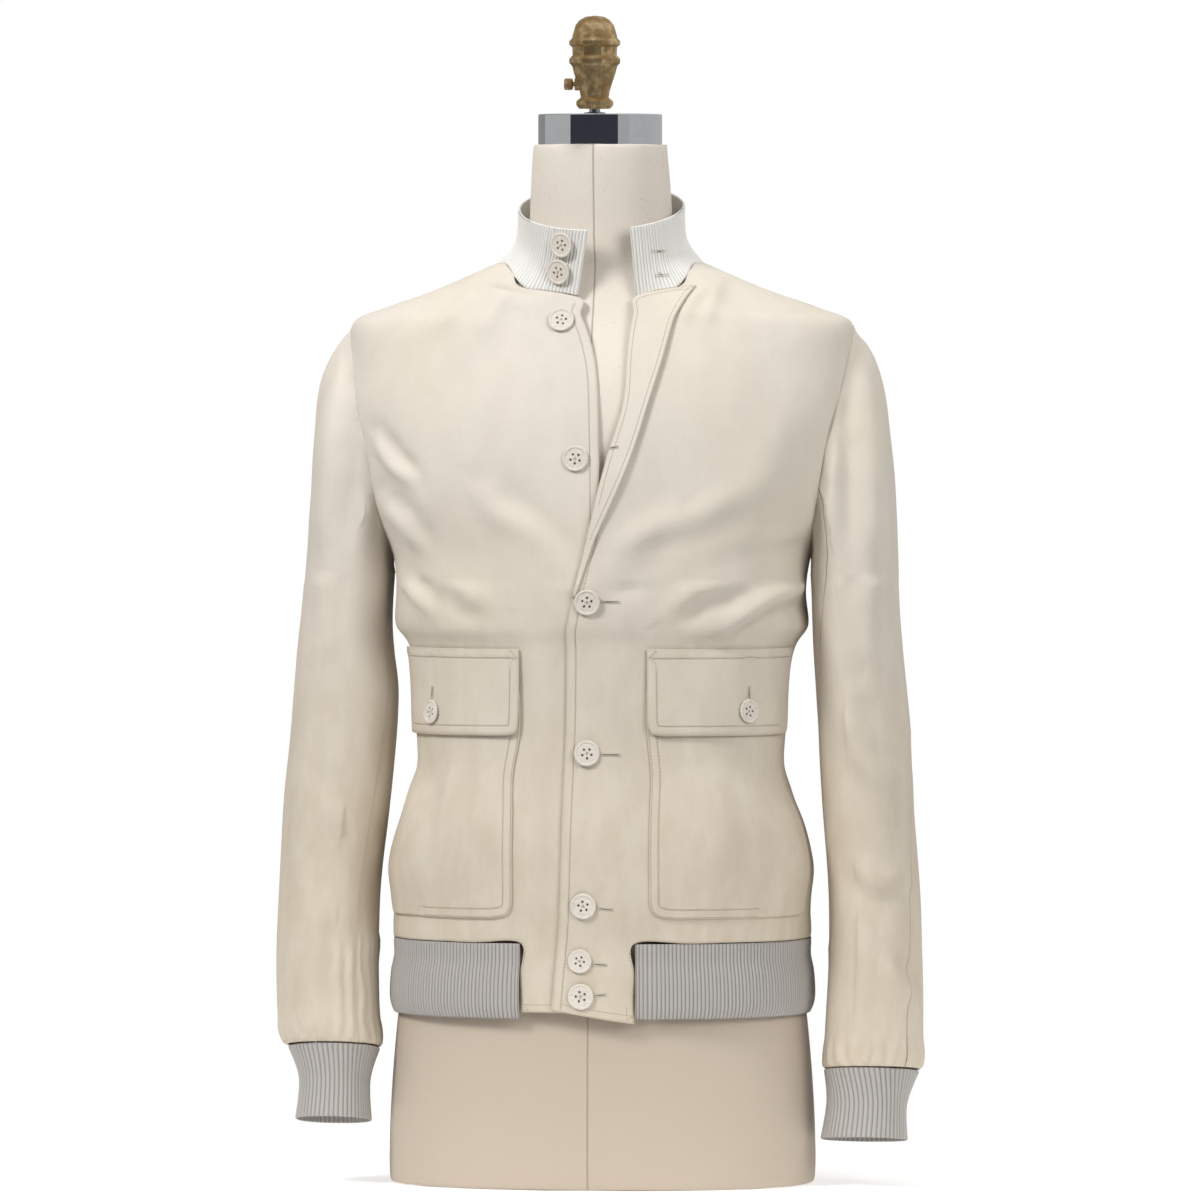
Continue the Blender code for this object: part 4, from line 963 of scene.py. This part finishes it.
def finish_cloth(name, work, finish, thickness, rounding, stitches):
    """Marks the distances from the edges, lays out the topstitching, and makes the wall of a cloth piece."""
    work.normal_update()
    rim = rims(work)
    away = rim_directions(work)
    points = [vert.co.copy() for vert in work.verts]
    edge_gap = distances(points, [vert.co for ring in rim for vert in ring]) / MM
    sewn_rim = []
    tree = BVHTree.FromBMesh(work)
    for sewn in SEWN.get(name, ()):
        run = max((longest_run(ring, sewn.where) for ring in rim), key=len)
        if EDGE_ROW in sewn.insets:
            sewn_rim += [vert.co for vert in run]
        for inset in sewn.insets:
            stitches.append((tree, [vert.co + away[vert] * inset * MM for vert in run]))
    sewn_gap = distances(points, sewn_rim) / MM if sewn_rim else np.full(len(points), NOT_SEWN)
    edge_layer = work.verts.layers.float.new("edge_mm")
    sewn_layer = work.verts.layers.float.new("sewn_mm")
    for vert, edge, sewn in zip(work.verts, edge_gap, sewn_gap):
        vert[edge_layer], vert[sewn_layer] = edge, sewn
    thicken(work, thickness, rounding)
    name_shown = name + "_suede"
    show(name_shown, give(work, name_shown), finish, [name])


def panel_pieces(shell, finish, stitches):
    """The seven suede panels, cut apart again from the shaped shell."""
    for number, name in enumerate(PANELS):
        work = take(shell)
        panel = work.faces.layers.int.get("panel")
        others = [face for face in work.faces if face[panel] != number]
        bmesh.ops.delete(work, geom=others, context="FACES")
        finish_cloth(name, work, finish, SUEDE, PANEL_ROUNDING, stitches)


def lie_on(points, tree, clear):
    """Points moved towards the front until they are clear of a surface behind them."""
    moved = points.copy()
    for number, point in enumerate(points):
        place, facing, _, _ = tree.find_nearest(Vector(point))
        if facing.y > 0:
            facing = -facing
        height = (Vector(point) - place).dot(facing)
        if height < clear:
            moved[number] += np.array(facing) * (clear - height)
    return moved


# Heights and places of the pockets and flaps are in millimetres.
POCKET_MIDDLE, FLAP_MIDDLE = 300, 400
FLAP_BAND = (436, 441)  # where the gathered band along a flap's top edge begins
FLAP_BUTTONS = {"left": 129.5, "right": -133.0}
DENT_FROM, DENT_WIDTH, DENT_DEPTH = (398, 406), 3.2, 0.9


def pocket_corner(place):
    """A pocket's lower corners are round."""
    return 0.0 if place.z < POCKET_MIDDLE * MM else 1.0


def flap_corner(place):
    """A flap's lower corners are slightly rounded."""
    return 0.3 if place.z < FLAP_MIDDLE * MM else 1.0


def flap_puckers(points):
    """The gathered stitching along a flap's upper band, and the dent above its button, in millimetres."""
    level = points[:, 2] / MM
    band = smoothstep(*FLAP_BAND, level)
    crumple = waves(points * (1, 1, 0.3), 4.2 * MM, 9) * 1.1 * band
    middle = np.where(points[:, 0] > 0, FLAP_BUTTONS["left"], FLAP_BUTTONS["right"])
    across = (points[:, 0] / MM - middle) / DENT_WIDTH
    dent = -DENT_DEPTH * np.exp(-(across**2)) * smoothstep(*DENT_FROM, level) * (1 - band)
    return crumple + dent


def layer_piece(name, finish, below, thickness, square, rounds, stitches):
    """A pocket, a flap or the turned-back edge, clear of what it lies on. It gives its own surface back."""
    mesh = finer(give(wall_side(name), name + "_side"), CLOTH_LEVELS, rounds, square)
    points, normals = coordinates(mesh), directions(mesh)
    height = drape(points, normals, np.zeros(len(points)))
    if "flap" in name:
        height += flap_puckers(points)
    points = points + normals * (height * MM)[:, None]
    for tree in below:
        points = lie_on(points, tree, thickness + SEAM_GAP)
    move_to(mesh, points)
    keep_normals(mesh)
    work = take(mesh)
    tree = BVHTree.FromBMesh(work)
    finish_cloth(name, work, finish, thickness, LAYER_ROUNDING, stitches)
    return tree


# ---------------------------------------------------------------- rib knit

FACING_IN = 0.7  # the inner side's faces look at the middle, and this is the least cosine for them
SAME_PLACE = 0.2  # two points are at about one place round a band when they are this near, in radians


def inner_rows(name, closed):
    """The plain inner side of a band as three rows of points from its foot up, each in order round it."""
    work = merged(name)
    low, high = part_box(name)
    middle = (low + high) / 2
    found = set()
    for face in work.faces:
        inwards = middle - face.calc_center_median()
        inwards.z = 0
        if face.normal.dot(inwards.normalized()) > FACING_IN:
            found.update(face.verts)
    points = np.array([vert.co for vert in found])
    work.free()
    turn = np.arctan2(points[:, 0] - middle.x, middle.y - points[:, 1]) % (2 * math.pi)
    apart = np.abs(turn[:, None] - turn)
    if closed:
        apart = np.minimum(apart, 2 * math.pi - apart)
    level = np.where(apart < SAME_PLACE, points[:, 2], np.nan)
    foot, head = np.nanmin(level, axis=1), np.nanmax(level, axis=1)
    row = np.round(2 * (points[:, 2] - foot) / (head - foot)).astype(int)
    order = np.lexsort((turn, row))
    return points[order].reshape(3, -1, 3)


def spline(points, at, closed=False):
    """A smooth curve through rows of points, read at positions counted in points."""
    count = len(points)
    k = np.clip(np.floor(at).astype(int), 0, count - (1 if closed else 2))
    t = (at - k).reshape((-1,) + (1,) * (points.ndim - 1))

    def pick(index):
        return points[index % count] if closed else points[np.clip(index, 0, count - 1)]

    before, start, end, after = pick(k - 1), pick(k), pick(k + 1), pick(k + 2)
    return 0.5 * (
        2 * start
        + (end - before) * t
        + (2 * before - 5 * start + 4 * end - after) * t**2
        + (3 * start - before - 3 * end + after) * t**3
    )


RIB_WALL, RIB_RISE = 2.4 * MM, 0.9 * MM
PER_RIB = 6  # points across one rib
RIB_FULLNESS = 2.4  # a greater power makes the ribs squarer
UNEVEN, UNEVEN_TURN = 0.12 * MM, 2.9  # how far, and by what angle from rib to rib, the ribs differ in height
KNIT_ROUNDING = 0.7 * MM
TUCK, TUCK_DEPTH = 0.07, 1.6 * MM  # how far the collar goes on below its seam, in rows, and how far behind
DIP_LEVEL, DIP_REACH, DIP_DEPTH = 189, 8, 1.6 * MM  # where the waistband dips in, in millimetres, and how far
NECKLINE_LOW = 0.73  # the shell's edge above this is the neckline
WELD_GRID = 0.001 * MM


def onto_seam(foot, normal, seam):
    """How each point of a band's foot must move for its outer side to meet the edge that it is sewn to. The
    moves are evened out over the neighbouring ribs."""
    tree = tree_of(seam)
    meets = np.array([tree.find(point)[0] for point in foot + normal * RIB_WALL])
    move = meets - normal * RIB_WALL - foot
    width = 4 * PER_RIB
    padded = np.concatenate([move[:1].repeat(width, 0), move, move[-1:].repeat(width, 0)])
    even = np.ones(2 * width + 1) / (2 * width + 1)
    return np.stack([np.convolve(padded[:, axis], even, "valid") for axis in range(3)], -1)


def knit_piece(name, finish, slot, ribs, rows, closed, dip=None, seam=None):
    """A ribbed band made from its node's plain inner side, with round ribs and a map for its stitches. `dip`
    says how far it is drawn in at a point. `seam` is the edge that its foot is sewn to and goes on behind."""
    grid = inner_rows(name, closed)
    columns = ribs * PER_RIB + (0 if closed else 1)
    span = grid.shape[1] if closed else grid.shape[1] - 1
    across = np.arange(columns) * span / (ribs * PER_RIB)
    tuck = TUCK if seam else 0.0
    heights = np.linspace(-tuck, grid.shape[0] - 1, rows)
    fine = np.stack([spline(row, across, closed) for row in grid])
    fine = spline(fine, heights)
    around = np.roll(fine, -1, 1) - np.roll(fine, 1, 1) if closed else np.gradient(fine, axis=1)
    normal = unit(np.cross(around, np.gradient(fine, axis=0)))
    if seam:
        at_seam = int(np.argmax(heights >= 0))
        move = onto_seam(fine[at_seam], normal[at_seam], seam)
        fine = fine + move * (1 - smoothstep(0, 1, heights))[:, None, None]
    lengths = np.linalg.norm(np.diff(fine, axis=0), axis=2).mean(axis=1)
    along = np.concatenate([[0], np.cumsum(lengths)])
    number = np.arange(columns) / PER_RIB
    from_crest = np.abs((number + 0.5) % 1 - 0.5) * 2
    ribbed = RIB_RISE * (1 - from_crest**RIB_FULLNESS) + UNEVEN * np.sin(number * UNEVEN_TURN)
    relief = np.broadcast_to(ribbed, fine.shape[:2]).copy()
    if dip is not None:
        relief += dip(fine)
    if seam:
        relief -= TUCK_DEPTH * (1 - smoothstep(-tuck, 1.5 * tuck, heights))[:, None]
    outer = fine + normal * (RIB_WALL - RIB_RISE + relief)[..., None]

    work = bmesh.new()
    uv = work.loops.layers.uv.new("knit")
    grid_columns = columns + 1 if closed else columns
    bmesh.ops.create_grid(work, x_segments=grid_columns - 1, y_segments=rows - 1, size=0.5)
    layer = work.verts.layers.float_vector.new("shell_normal")
    for vert in work.verts:
        column = round((vert.co.x + 0.5) * (grid_columns - 1))
        row = round((vert.co.y + 0.5) * (rows - 1))
        vert.index = column + row * grid_columns
    for face in work.faces:
        for loop in face.loops:
            column, row = loop.vert.index % grid_columns, loop.vert.index // grid_columns
            loop[uv].uv = (column / PER_RIB, along[row] / MM)
    for vert in work.verts:
        column, row = vert.index % grid_columns, vert.index // grid_columns
        vert.co = Vector(outer[row, column % columns])
        vert[layer] = Vector(normal[row, column % columns])
    if closed:
        bmesh.ops.remove_doubles(work, verts=work.verts, dist=WELD_GRID)
    work.normal_update()
    thicken(work, RIB_WALL - RIB_RISE, KNIT_ROUNDING)
    mesh = give(work, name + "_knit")
    show(name + "_knit", mesh, finish, [name])


def waistband_dip(points):
    """The waistband is drawn in just below its seam."""
    return -DIP_DEPTH * np.exp(-(((points[..., 2] / MM - DIP_LEVEL) / DIP_REACH) ** 2))


# ---------------------------------------------------------------- stitches and buttonholes

STITCH_PITCH, STITCH_LENGTH, THREAD_RADIUS = 2.7 * MM, 1.9 * MM, 0.24 * MM
STITCH_RAISED = 0.06 * MM
# The size of the dark bead of painted shade in a needle hole.
NEEDLE_SHADE = (0.42 * MM, 0.36 * MM, 0.1 * MM)
CROSS_STITCH, CROSS_RAISED, CROSS_ASIDE = (0.75 * MM, 0.3 * MM, 0.3 * MM), 0.12 * MM, 0.85 * MM
BAR_STITCH, BAR_RAISED = (0.6 * MM, 0.32 * MM, 0.34 * MM), 0.14 * MM
BAR_ASIDE, BAR_BEYOND = 0.6 * MM, 0.5 * MM
CROSS_PITCH, FEWEST_CROSSES = 0.62, 6  # along a buttonhole, the pitch in millimetres
# The dark bead of painted shade in a buttonhole's slit.
SLIT_SHARE, SLIT_HALF, SLIT_DEPTH, SLIT_RAISED = 0.96, 0.3 * MM, 0.22 * MM, 0.1 * MM
BEFORE_ALL = -0.3  # nothing of the jacket is further forward than this
BATCH = 60  # balls are copied in batches of this many, which is far quicker


def resampled(path, pitch):
    """Points at even distances along a path, and the path's direction at each."""
    path = np.array([tuple(point) for point in path])
    steps = np.linalg.norm(np.diff(path, axis=0), axis=1)
    run = np.concatenate([[0], np.cumsum(steps)])
    count = max(int(run[-1] / pitch), 2)
    at = (np.arange(count) + 0.5) * run[-1] / count
    spots = np.stack([np.interp(at, run, path[:, axis]) for axis in range(3)], -1)
    return spots, unit(np.gradient(spots, axis=0))


def turned_to(place, along, normal, size):
    """A matrix that lays a shape at a place, with its X along a direction and its Z along the normal."""
    along = (along - along.dot(normal) * normal).normalized()
    side = normal.cross(along)
    turn = Matrix((along, side, normal)).transposed().to_4x4()
    return Matrix.Translation(place) @ turn @ Matrix.Diagonal((*size, 1))


def beads(places, segments=6, rings=4):
    """One mesh of small balls, each pressed to shape by one of the matrices."""
    single, whole = bmesh.new(), bmesh.new()
    bmesh.ops.create_uvsphere(single, u_segments=segments, v_segments=rings, radius=1)
    ball = give(single, "ball")
    for start in range(0, len(places), BATCH):
        batch = bmesh.new()
        for matrix in places[start : start + BATCH]:
            ball.transform(matrix)
            batch.from_mesh(ball)
            ball.transform(matrix.inverted())
        mesh = give(batch, "batch")
        whole.from_mesh(mesh)
        bpy.data.meshes.remove(mesh)
    return give(whole, "beads")


def topstitching(rows, thread, hole):
    """All rows of topstitching: short stitches with a dark bead of painted shade for the needle hole between
    each two.
    """
    stitch = (STITCH_LENGTH / 2, THREAD_RADIUS, THREAD_RADIUS)
    sewn, holes = [], []
    for tree, path in rows:
        spots, along = resampled(path, STITCH_PITCH)
        placed = []
        for spot, direction in zip(spots, along):
            place, normal, _, _ = tree.find_nearest(Vector(spot))
            placed.append((place, normal, Vector(direction)))
        for place, normal, direction in placed:
            sewn.append(turned_to(place + normal * STITCH_RAISED, direction, normal, stitch))
        # A dark bead of painted shade marks each needle hole.
        for (place, normal, direction), after in zip(placed, placed[1:]):
            holes.append(turned_to((place + after[0]) / 2, direction, normal, NEEDLE_SHADE))
    show("topstitching", beads(sewn), thread)
    show("needle_holes", beads(holes), hole)


# The cloth that a buttonhole is in, the x and z of its near end and its direction from there as seen from the
# front, and its length. Lengths are in millimetres.
Buttonhole = namedtuple("Buttonhole", "cloth x z direction length")
BUTTONHOLES = [
    Buttonhole("left_front", 12.5, 484.5, (1, 0), 15),
    Buttonhole("left_front", 11.6, 359.0, (1, 0), 16),
    Buttonhole("left_front", 9.7, 233.5, (1, -0.1), 13),
    Buttonhole("left_front", 5.2, 187.3, (1, -0.05), 12),
    Buttonhole("left_front", 7.5, 161.5, (1, 0.1), 9),
    Buttonhole("left_front", 47.5, 716.0, (1, 0), 17),
    Buttonhole("left_front_turnback", 18.5, 610.5, (1, 0.15), 7),
    Buttonhole("right_flap", -133.2, 404.0, (0.05, 1), 9),
    Buttonhole("left_flap", 129.5, 404.0, (0.05, 1), 10),
    Buttonhole("collar", 47.5, 772.0, (1, 0.02), 9),
    Buttonhole("collar", 50.5, 752.0, (1, 0.05), 10),
]


def on_cloth(tree, point):
    """The place on a cloth straight behind a point, as seen from the front, and the way it faces."""
    start = Vector((point.x, BEFORE_ALL, point.z))
    place, normal, _, _ = tree.ray_cast(start, Vector((0, 1, 0)))
    if place is None:
        place, normal, _, _ = tree.find_nearest(start)
    return place, (normal if normal.y < 0 else -normal)


def buttonholes(trees, thread, dark):
    """Bar-tacked slits: a ring of close cross stitches round a dark bead of painted shade for the slit."""
    sewn, slits = [], []
    for hole in BUTTONHOLES:
        tree = trees[hole.cloth]
        direction = Vector((hole.direction[0], 0, hole.direction[1])).normalized()
        across = Vector((-direction.z, 0, direction.x))
        half = hole.length * MM / 2
        middle = Vector((hole.x * MM, 0, hole.z * MM)) + direction * half
        steps = max(int(hole.length / CROSS_PITCH), FEWEST_CROSSES)
        alongs = [half * (2 * step / steps - 1) for step in range(steps + 1)]
        crosses = [(along, side * CROSS_ASIDE) for side in (-1, 1) for along in alongs]
        bars = [(end * (half + BAR_BEYOND), side * BAR_ASIDE) for end in (-1, 1) for side in (-1, 0, 1)]
        for spots, size, raised in ((crosses, CROSS_STITCH, CROSS_RAISED), (bars, BAR_STITCH, BAR_RAISED)):
            for along, aside in spots:
                place, normal = on_cloth(tree, middle + direction * along + across * aside)
                sewn.append(turned_to(place + normal * raised, across, normal, size))
        # The slit is a dark bead of painted shade.
        place, normal = on_cloth(tree, middle)
        size = (half * SLIT_SHARE, SLIT_HALF, SLIT_DEPTH)
        slits.append(turned_to(place + normal * SLIT_RAISED, direction, normal, size))
    show("buttonhole_stitching", beads(sewn), thread)
    show("buttonhole_slits", beads(slits, 12, 6), dark)


# ---------------------------------------------------------------- buttons

# Radius and height, from the middle of the face to the middle of the back. These, and the other numbers here
# that aren't lengths, are shares of the button's radius.
BUTTON_OUTLINE = [
    (0.0, 0.135),
    (0.55, 0.13),
    (0.70, 0.135),
    (0.76, 0.125),
    (0.80, 0.16),
    (0.86, 0.20),
    (0.94, 0.20),
    (0.985, 0.165),
    (1.0, 0.115),
    (0.96, 0.06),
    (0.80, 0.015),
    (0.0, 0.0),
]
FACE = 0.135
HOLES, HOLE_RING, HOLE_RADIUS, HOLE_DEPTH = 5, 0.37, 0.1, 0.2
STRAND_MIDDLE, STRAND_HALF, STRAND_HEIGHT = 0.42 * HOLE_RING, 0.44 * HOLE_RING, 0.14
STRAND_WIDTH, STRAND_DEPTH = 0.2 * MM, 0.18 * MM
# Dark beads painted as the shade inside the button's holes.
PIT_AWAY, PIT_RADIUS, PIT_HEIGHT, PIT_DEPTH = 1.04 * HOLE_RING, 0.98 * HOLE_RADIUS, 0.085, 0.3 * MM
BACK = 1.45 * MM  # from the middle of one of the frame's buttons to its back
RIM_PROBES, PROBED_RING = 8, 0.9
RAISED, MOST_SUNK, MOST_RAISED = 0.35 * MM, 1.2 * MM, 2.5 * MM  # how the button is seated on its cloth
BUTTON_STEPS, DRILL_STEPS, BUTTON_SHARP = 40, 12, 38


def round_circle(count):
    """The cosine and sine of directions spread evenly round a circle."""
    angles = [2 * math.pi * number / count for number in range(count)]
    return [(math.cos(angle), math.sin(angle)) for angle in angles]


def button_pose(node):
    """The centre, the facing and the radius of one of the frame's buttons."""
    points = np.array([vert.co for vert in nodes[node].data.vertices], float)
    centre = points.mean(axis=0)
    _, _, axes = np.linalg.svd(points - centre)
    facing = axes[2] * (1 if axes[2][1] < 0 else -1)
    radius = np.linalg.norm(points - centre, axis=1).max()
    return Vector(centre), Vector(facing), radius


def seated(centre, facing, radius, tree):
    """Where the middle of a button's back is when its rim rests on the cloth."""
    side = facing.cross(UP).normalized()
    upward = side.cross(facing)
    gap = math.inf
    for x, y in round_circle(RIM_PROBES):
        rim_point = centre + (side * x + upward * y) * radius * PROBED_RING
        place, _, _, _ = tree.find_nearest(rim_point)
        gap = min(gap, (rim_point - place).dot(facing))
    lift = RAISED - min(gap - BACK, MOST_SUNK)
    return centre + facing * (min(lift, MOST_RAISED) - BACK)


def drilled(node, radius):
    """A rimmed disc with a ring of holes round a middle one, lying on the floor of its own frame."""
    work = bmesh.new()
    outline = [work.verts.new((share * radius, 0, height * radius)) for share, height in BUTTON_OUTLINE]
    edges = [work.edges.new(pair) for pair in zip(outline, outline[1:])]
    turn = {"cent": (0, 0, 0), "axis": (0, 0, 1), "angle": 2 * math.pi, "steps": BUTTON_STEPS}
    bmesh.ops.spin(work, geom=outline + edges, use_merge=True, **turn)
    bmesh.ops.remove_doubles(work, verts=work.verts, dist=WELD_GRID)
    bmesh.ops.recalc_face_normals(work, faces=work.faces)
    drill = bmesh.new()
    ring = [(HOLE_RING * x, HOLE_RING * y) for x, y in round_circle(HOLES)]
    for x, y in [(0, 0)] + ring:
        bmesh.ops.create_cone(
            drill,
            cap_ends=True,
            segments=DRILL_STEPS,
            radius1=HOLE_RADIUS * radius,
            radius2=HOLE_RADIUS * radius,
            depth=HOLE_DEPTH * radius,
            matrix=Matrix.Translation((x * radius, y * radius, FACE * radius)),
        )
    disc = in_scene(node + "_disc", give(work, node + "_disc"))
    cutter = in_scene(node + "_drill", give(drill, node + "_drill"))
    cut = disc.modifiers.new("holes", "BOOLEAN")
    cut.operation = "DIFFERENCE"
    cut.solver = "EXACT"
    cut.object = cutter
    mesh = evaluated(disc)
    for thing in (disc, cutter):
        bpy.data.objects.remove(thing)
    return mesh


def button(node, tree, finish, spin):
    """A button seated on its cloth. It gives back the poses of its star of thread's strands and of the dark
    beads of painted shade in its holes."""
    centre, facing, radius = button_pose(node)
    turn = facing.to_track_quat("Z", "Y").to_matrix().to_4x4() @ Matrix.Rotation(spin, 4, "Z")
    pose = Matrix.Translation(seated(centre, facing, radius, tree)) @ turn
    mesh = drilled(node, radius)
    mesh.transform(pose)
    show(node + "_disc", mesh, finish, [node], BUTTON_SHARP)

    star, pits = [], []
    for x, y in round_circle(HOLES):
        along = Vector((x, y, 0))
        strand = along * STRAND_MIDDLE * radius + UP * STRAND_HEIGHT * radius
        size = (STRAND_HALF * radius, STRAND_WIDTH, STRAND_DEPTH)
        star.append(pose @ turned_to(strand, along, UP, size))
        # A dark bead of painted shade in each hole.
        pit = along * PIT_AWAY * radius + UP * PIT_HEIGHT * radius
        size = (PIT_RADIUS * radius, PIT_RADIUS * radius, PIT_DEPTH)
        pits.append(pose @ turned_to(pit, along, UP, size))
    return star, pits


# ---------------------------------------------------------------- the form and its metal

COVER_LEVELS, COVER_ROUNDS = 3, 3
COVER_RADIUS = 150  # turns an angle round the form into millimetres of its cover


def form_cover(finish):
    """The form's canvas cover, with a map for its weave."""
    work = merged("form_body")
    square_cells(work)
    work = take(finer(give(work, "form_side"), COVER_LEVELS, COVER_ROUNDS))
    uv = work.loops.layers.uv.new("weave")
    for face in work.faces:
        turn = [math.atan2(loop.vert.co.x, -loop.vert.co.y) for loop in face.loops]
        if max(turn) - min(turn) > math.pi:
            turn = [angle + 2 * math.pi if angle < 0 else angle for angle in turn]
        for loop, angle in zip(face.loops, turn):
            loop[uv].uv = (angle * COVER_RADIUS, loop.vert.co.z / MM)
    show("form_cover", give(work, "form_cover"), finish, ["form_body"])


def dress(name, finish):
    """A node of the frame whose shape stays gets its finish."""
    node = nodes[name]
    if not node.data.materials:
        node.data.materials.append(None)
    for slot in node.material_slots:
        slot.material = finish


# Each band's number of ribs and rows of points, and whether it is a closed tube.
Band = namedtuple("Band", "ribs rows closed")
BANDS = {
    "waistband": Band(273, 22, False),
    "left_cuff": Band(58, 34, True),
    "right_cuff": Band(58, 34, True),
    "collar": Band(144, 40, False),
}
BUTTON_SPIN = 0.7  # each button is sewn on turned by this angle from the one before


def jacket_cloth(suede, knit, pale_knit):
    """All the jacket's cloth. It gives back the rows to topstitch and the surfaces that things lie on."""
    rows = []
    shell = jacket_shell()
    shape_shell(shell)
    work = take(shell)
    shell_tree = BVHTree.FromBMesh(work)
    neckline = [vert.co.copy() for vert in work.verts if vert.is_boundary and vert.co.z > NECKLINE_LOW]
    work.free()
    panel_pieces(shell, suede, rows)
    trees = {"left_front": shell_tree}
    for side in ("left", "right"):
        pocket, flap = side + "_pocket", side + "_flap"
        trees[pocket] = layer_piece(pocket, suede, [shell_tree], PATCH, pocket_corner, 3, rows)
        trees[flap] = layer_piece(flap, suede, [shell_tree, trees[pocket]], PATCH, flap_corner, 0, rows)
    name = "left_front_turnback"
    trees[name] = layer_piece(name, suede, [shell_tree], SUEDE, square_corner, 3, rows)

    for name, band in BANDS.items():
        if name == "collar":
            knit_piece(name, pale_knit, "rib_knit_pale", *band, seam=neckline)
        else:
            knit_piece(name, knit, "rib_knit", *band, dip=waistband_dip if name == "waistband" else None)
        graph = bpy.context.evaluated_depsgraph_get()
        trees[name] = BVHTree.FromObject(bpy.data.objects[name + "_knit"], graph)
    return rows, trees


def main():
    photo_camera()
    studio()
    # Each knit's second colour is the painted shade in its rib valleys and between its stitches.
    knit = knit_finish("rib_knit", paint(180, 176, 171), paint(122, 118, 114))
    pale_knit = knit_finish("rib_knit_pale", paint(241, 239, 234), paint(200, 198, 193))
    horn = button_finish()
    suede_thread = thread_finish("suede_thread", paint(200, 187, 162))
    pale_thread = thread_finish("pale_thread", paint(214, 206, 192))
    shade = thread_finish("needle_shade", paint(128, 112, 86))
    slit = thread_finish("slit_shade", paint(96, 86, 72))

    rows, trees = jacket_cloth(suede_finish(), knit, pale_knit)
    topstitching(rows, suede_thread, shade)
    buttonholes(trees, pale_thread, slit)

    stars, pits = [], []
    for number, name in enumerate(sorted(name for name in nodes if "button" in name)):
        if name.startswith("collar"):
            cloth = "collar"
        elif "flap" in name:
            cloth = name.replace("_button", "")
        else:
            cloth = "left_front"
        star, dark = button(name, trees[cloth], horn, number * BUTTON_SPIN)
        stars += star
        pits += dark
    show("button_threads", beads(stars, 8, 6), pale_thread)
    # The dark beads of painted shade in the buttons' holes.
    show("button_hole_pits", beads(pits, 10, 6), slit)

    form_cover(canvas_finish())
    brass = brass_finish()
    dress("neck_cap", polished_finish("chrome", paint(228, 230, 232), 0.05, 0.25))
    dress("stem", polished_finish("steel", paint(176, 176, 178), 0.26, 0.5))
    dress("finial", brass)
    dress("thumb_screw", brass)


main()
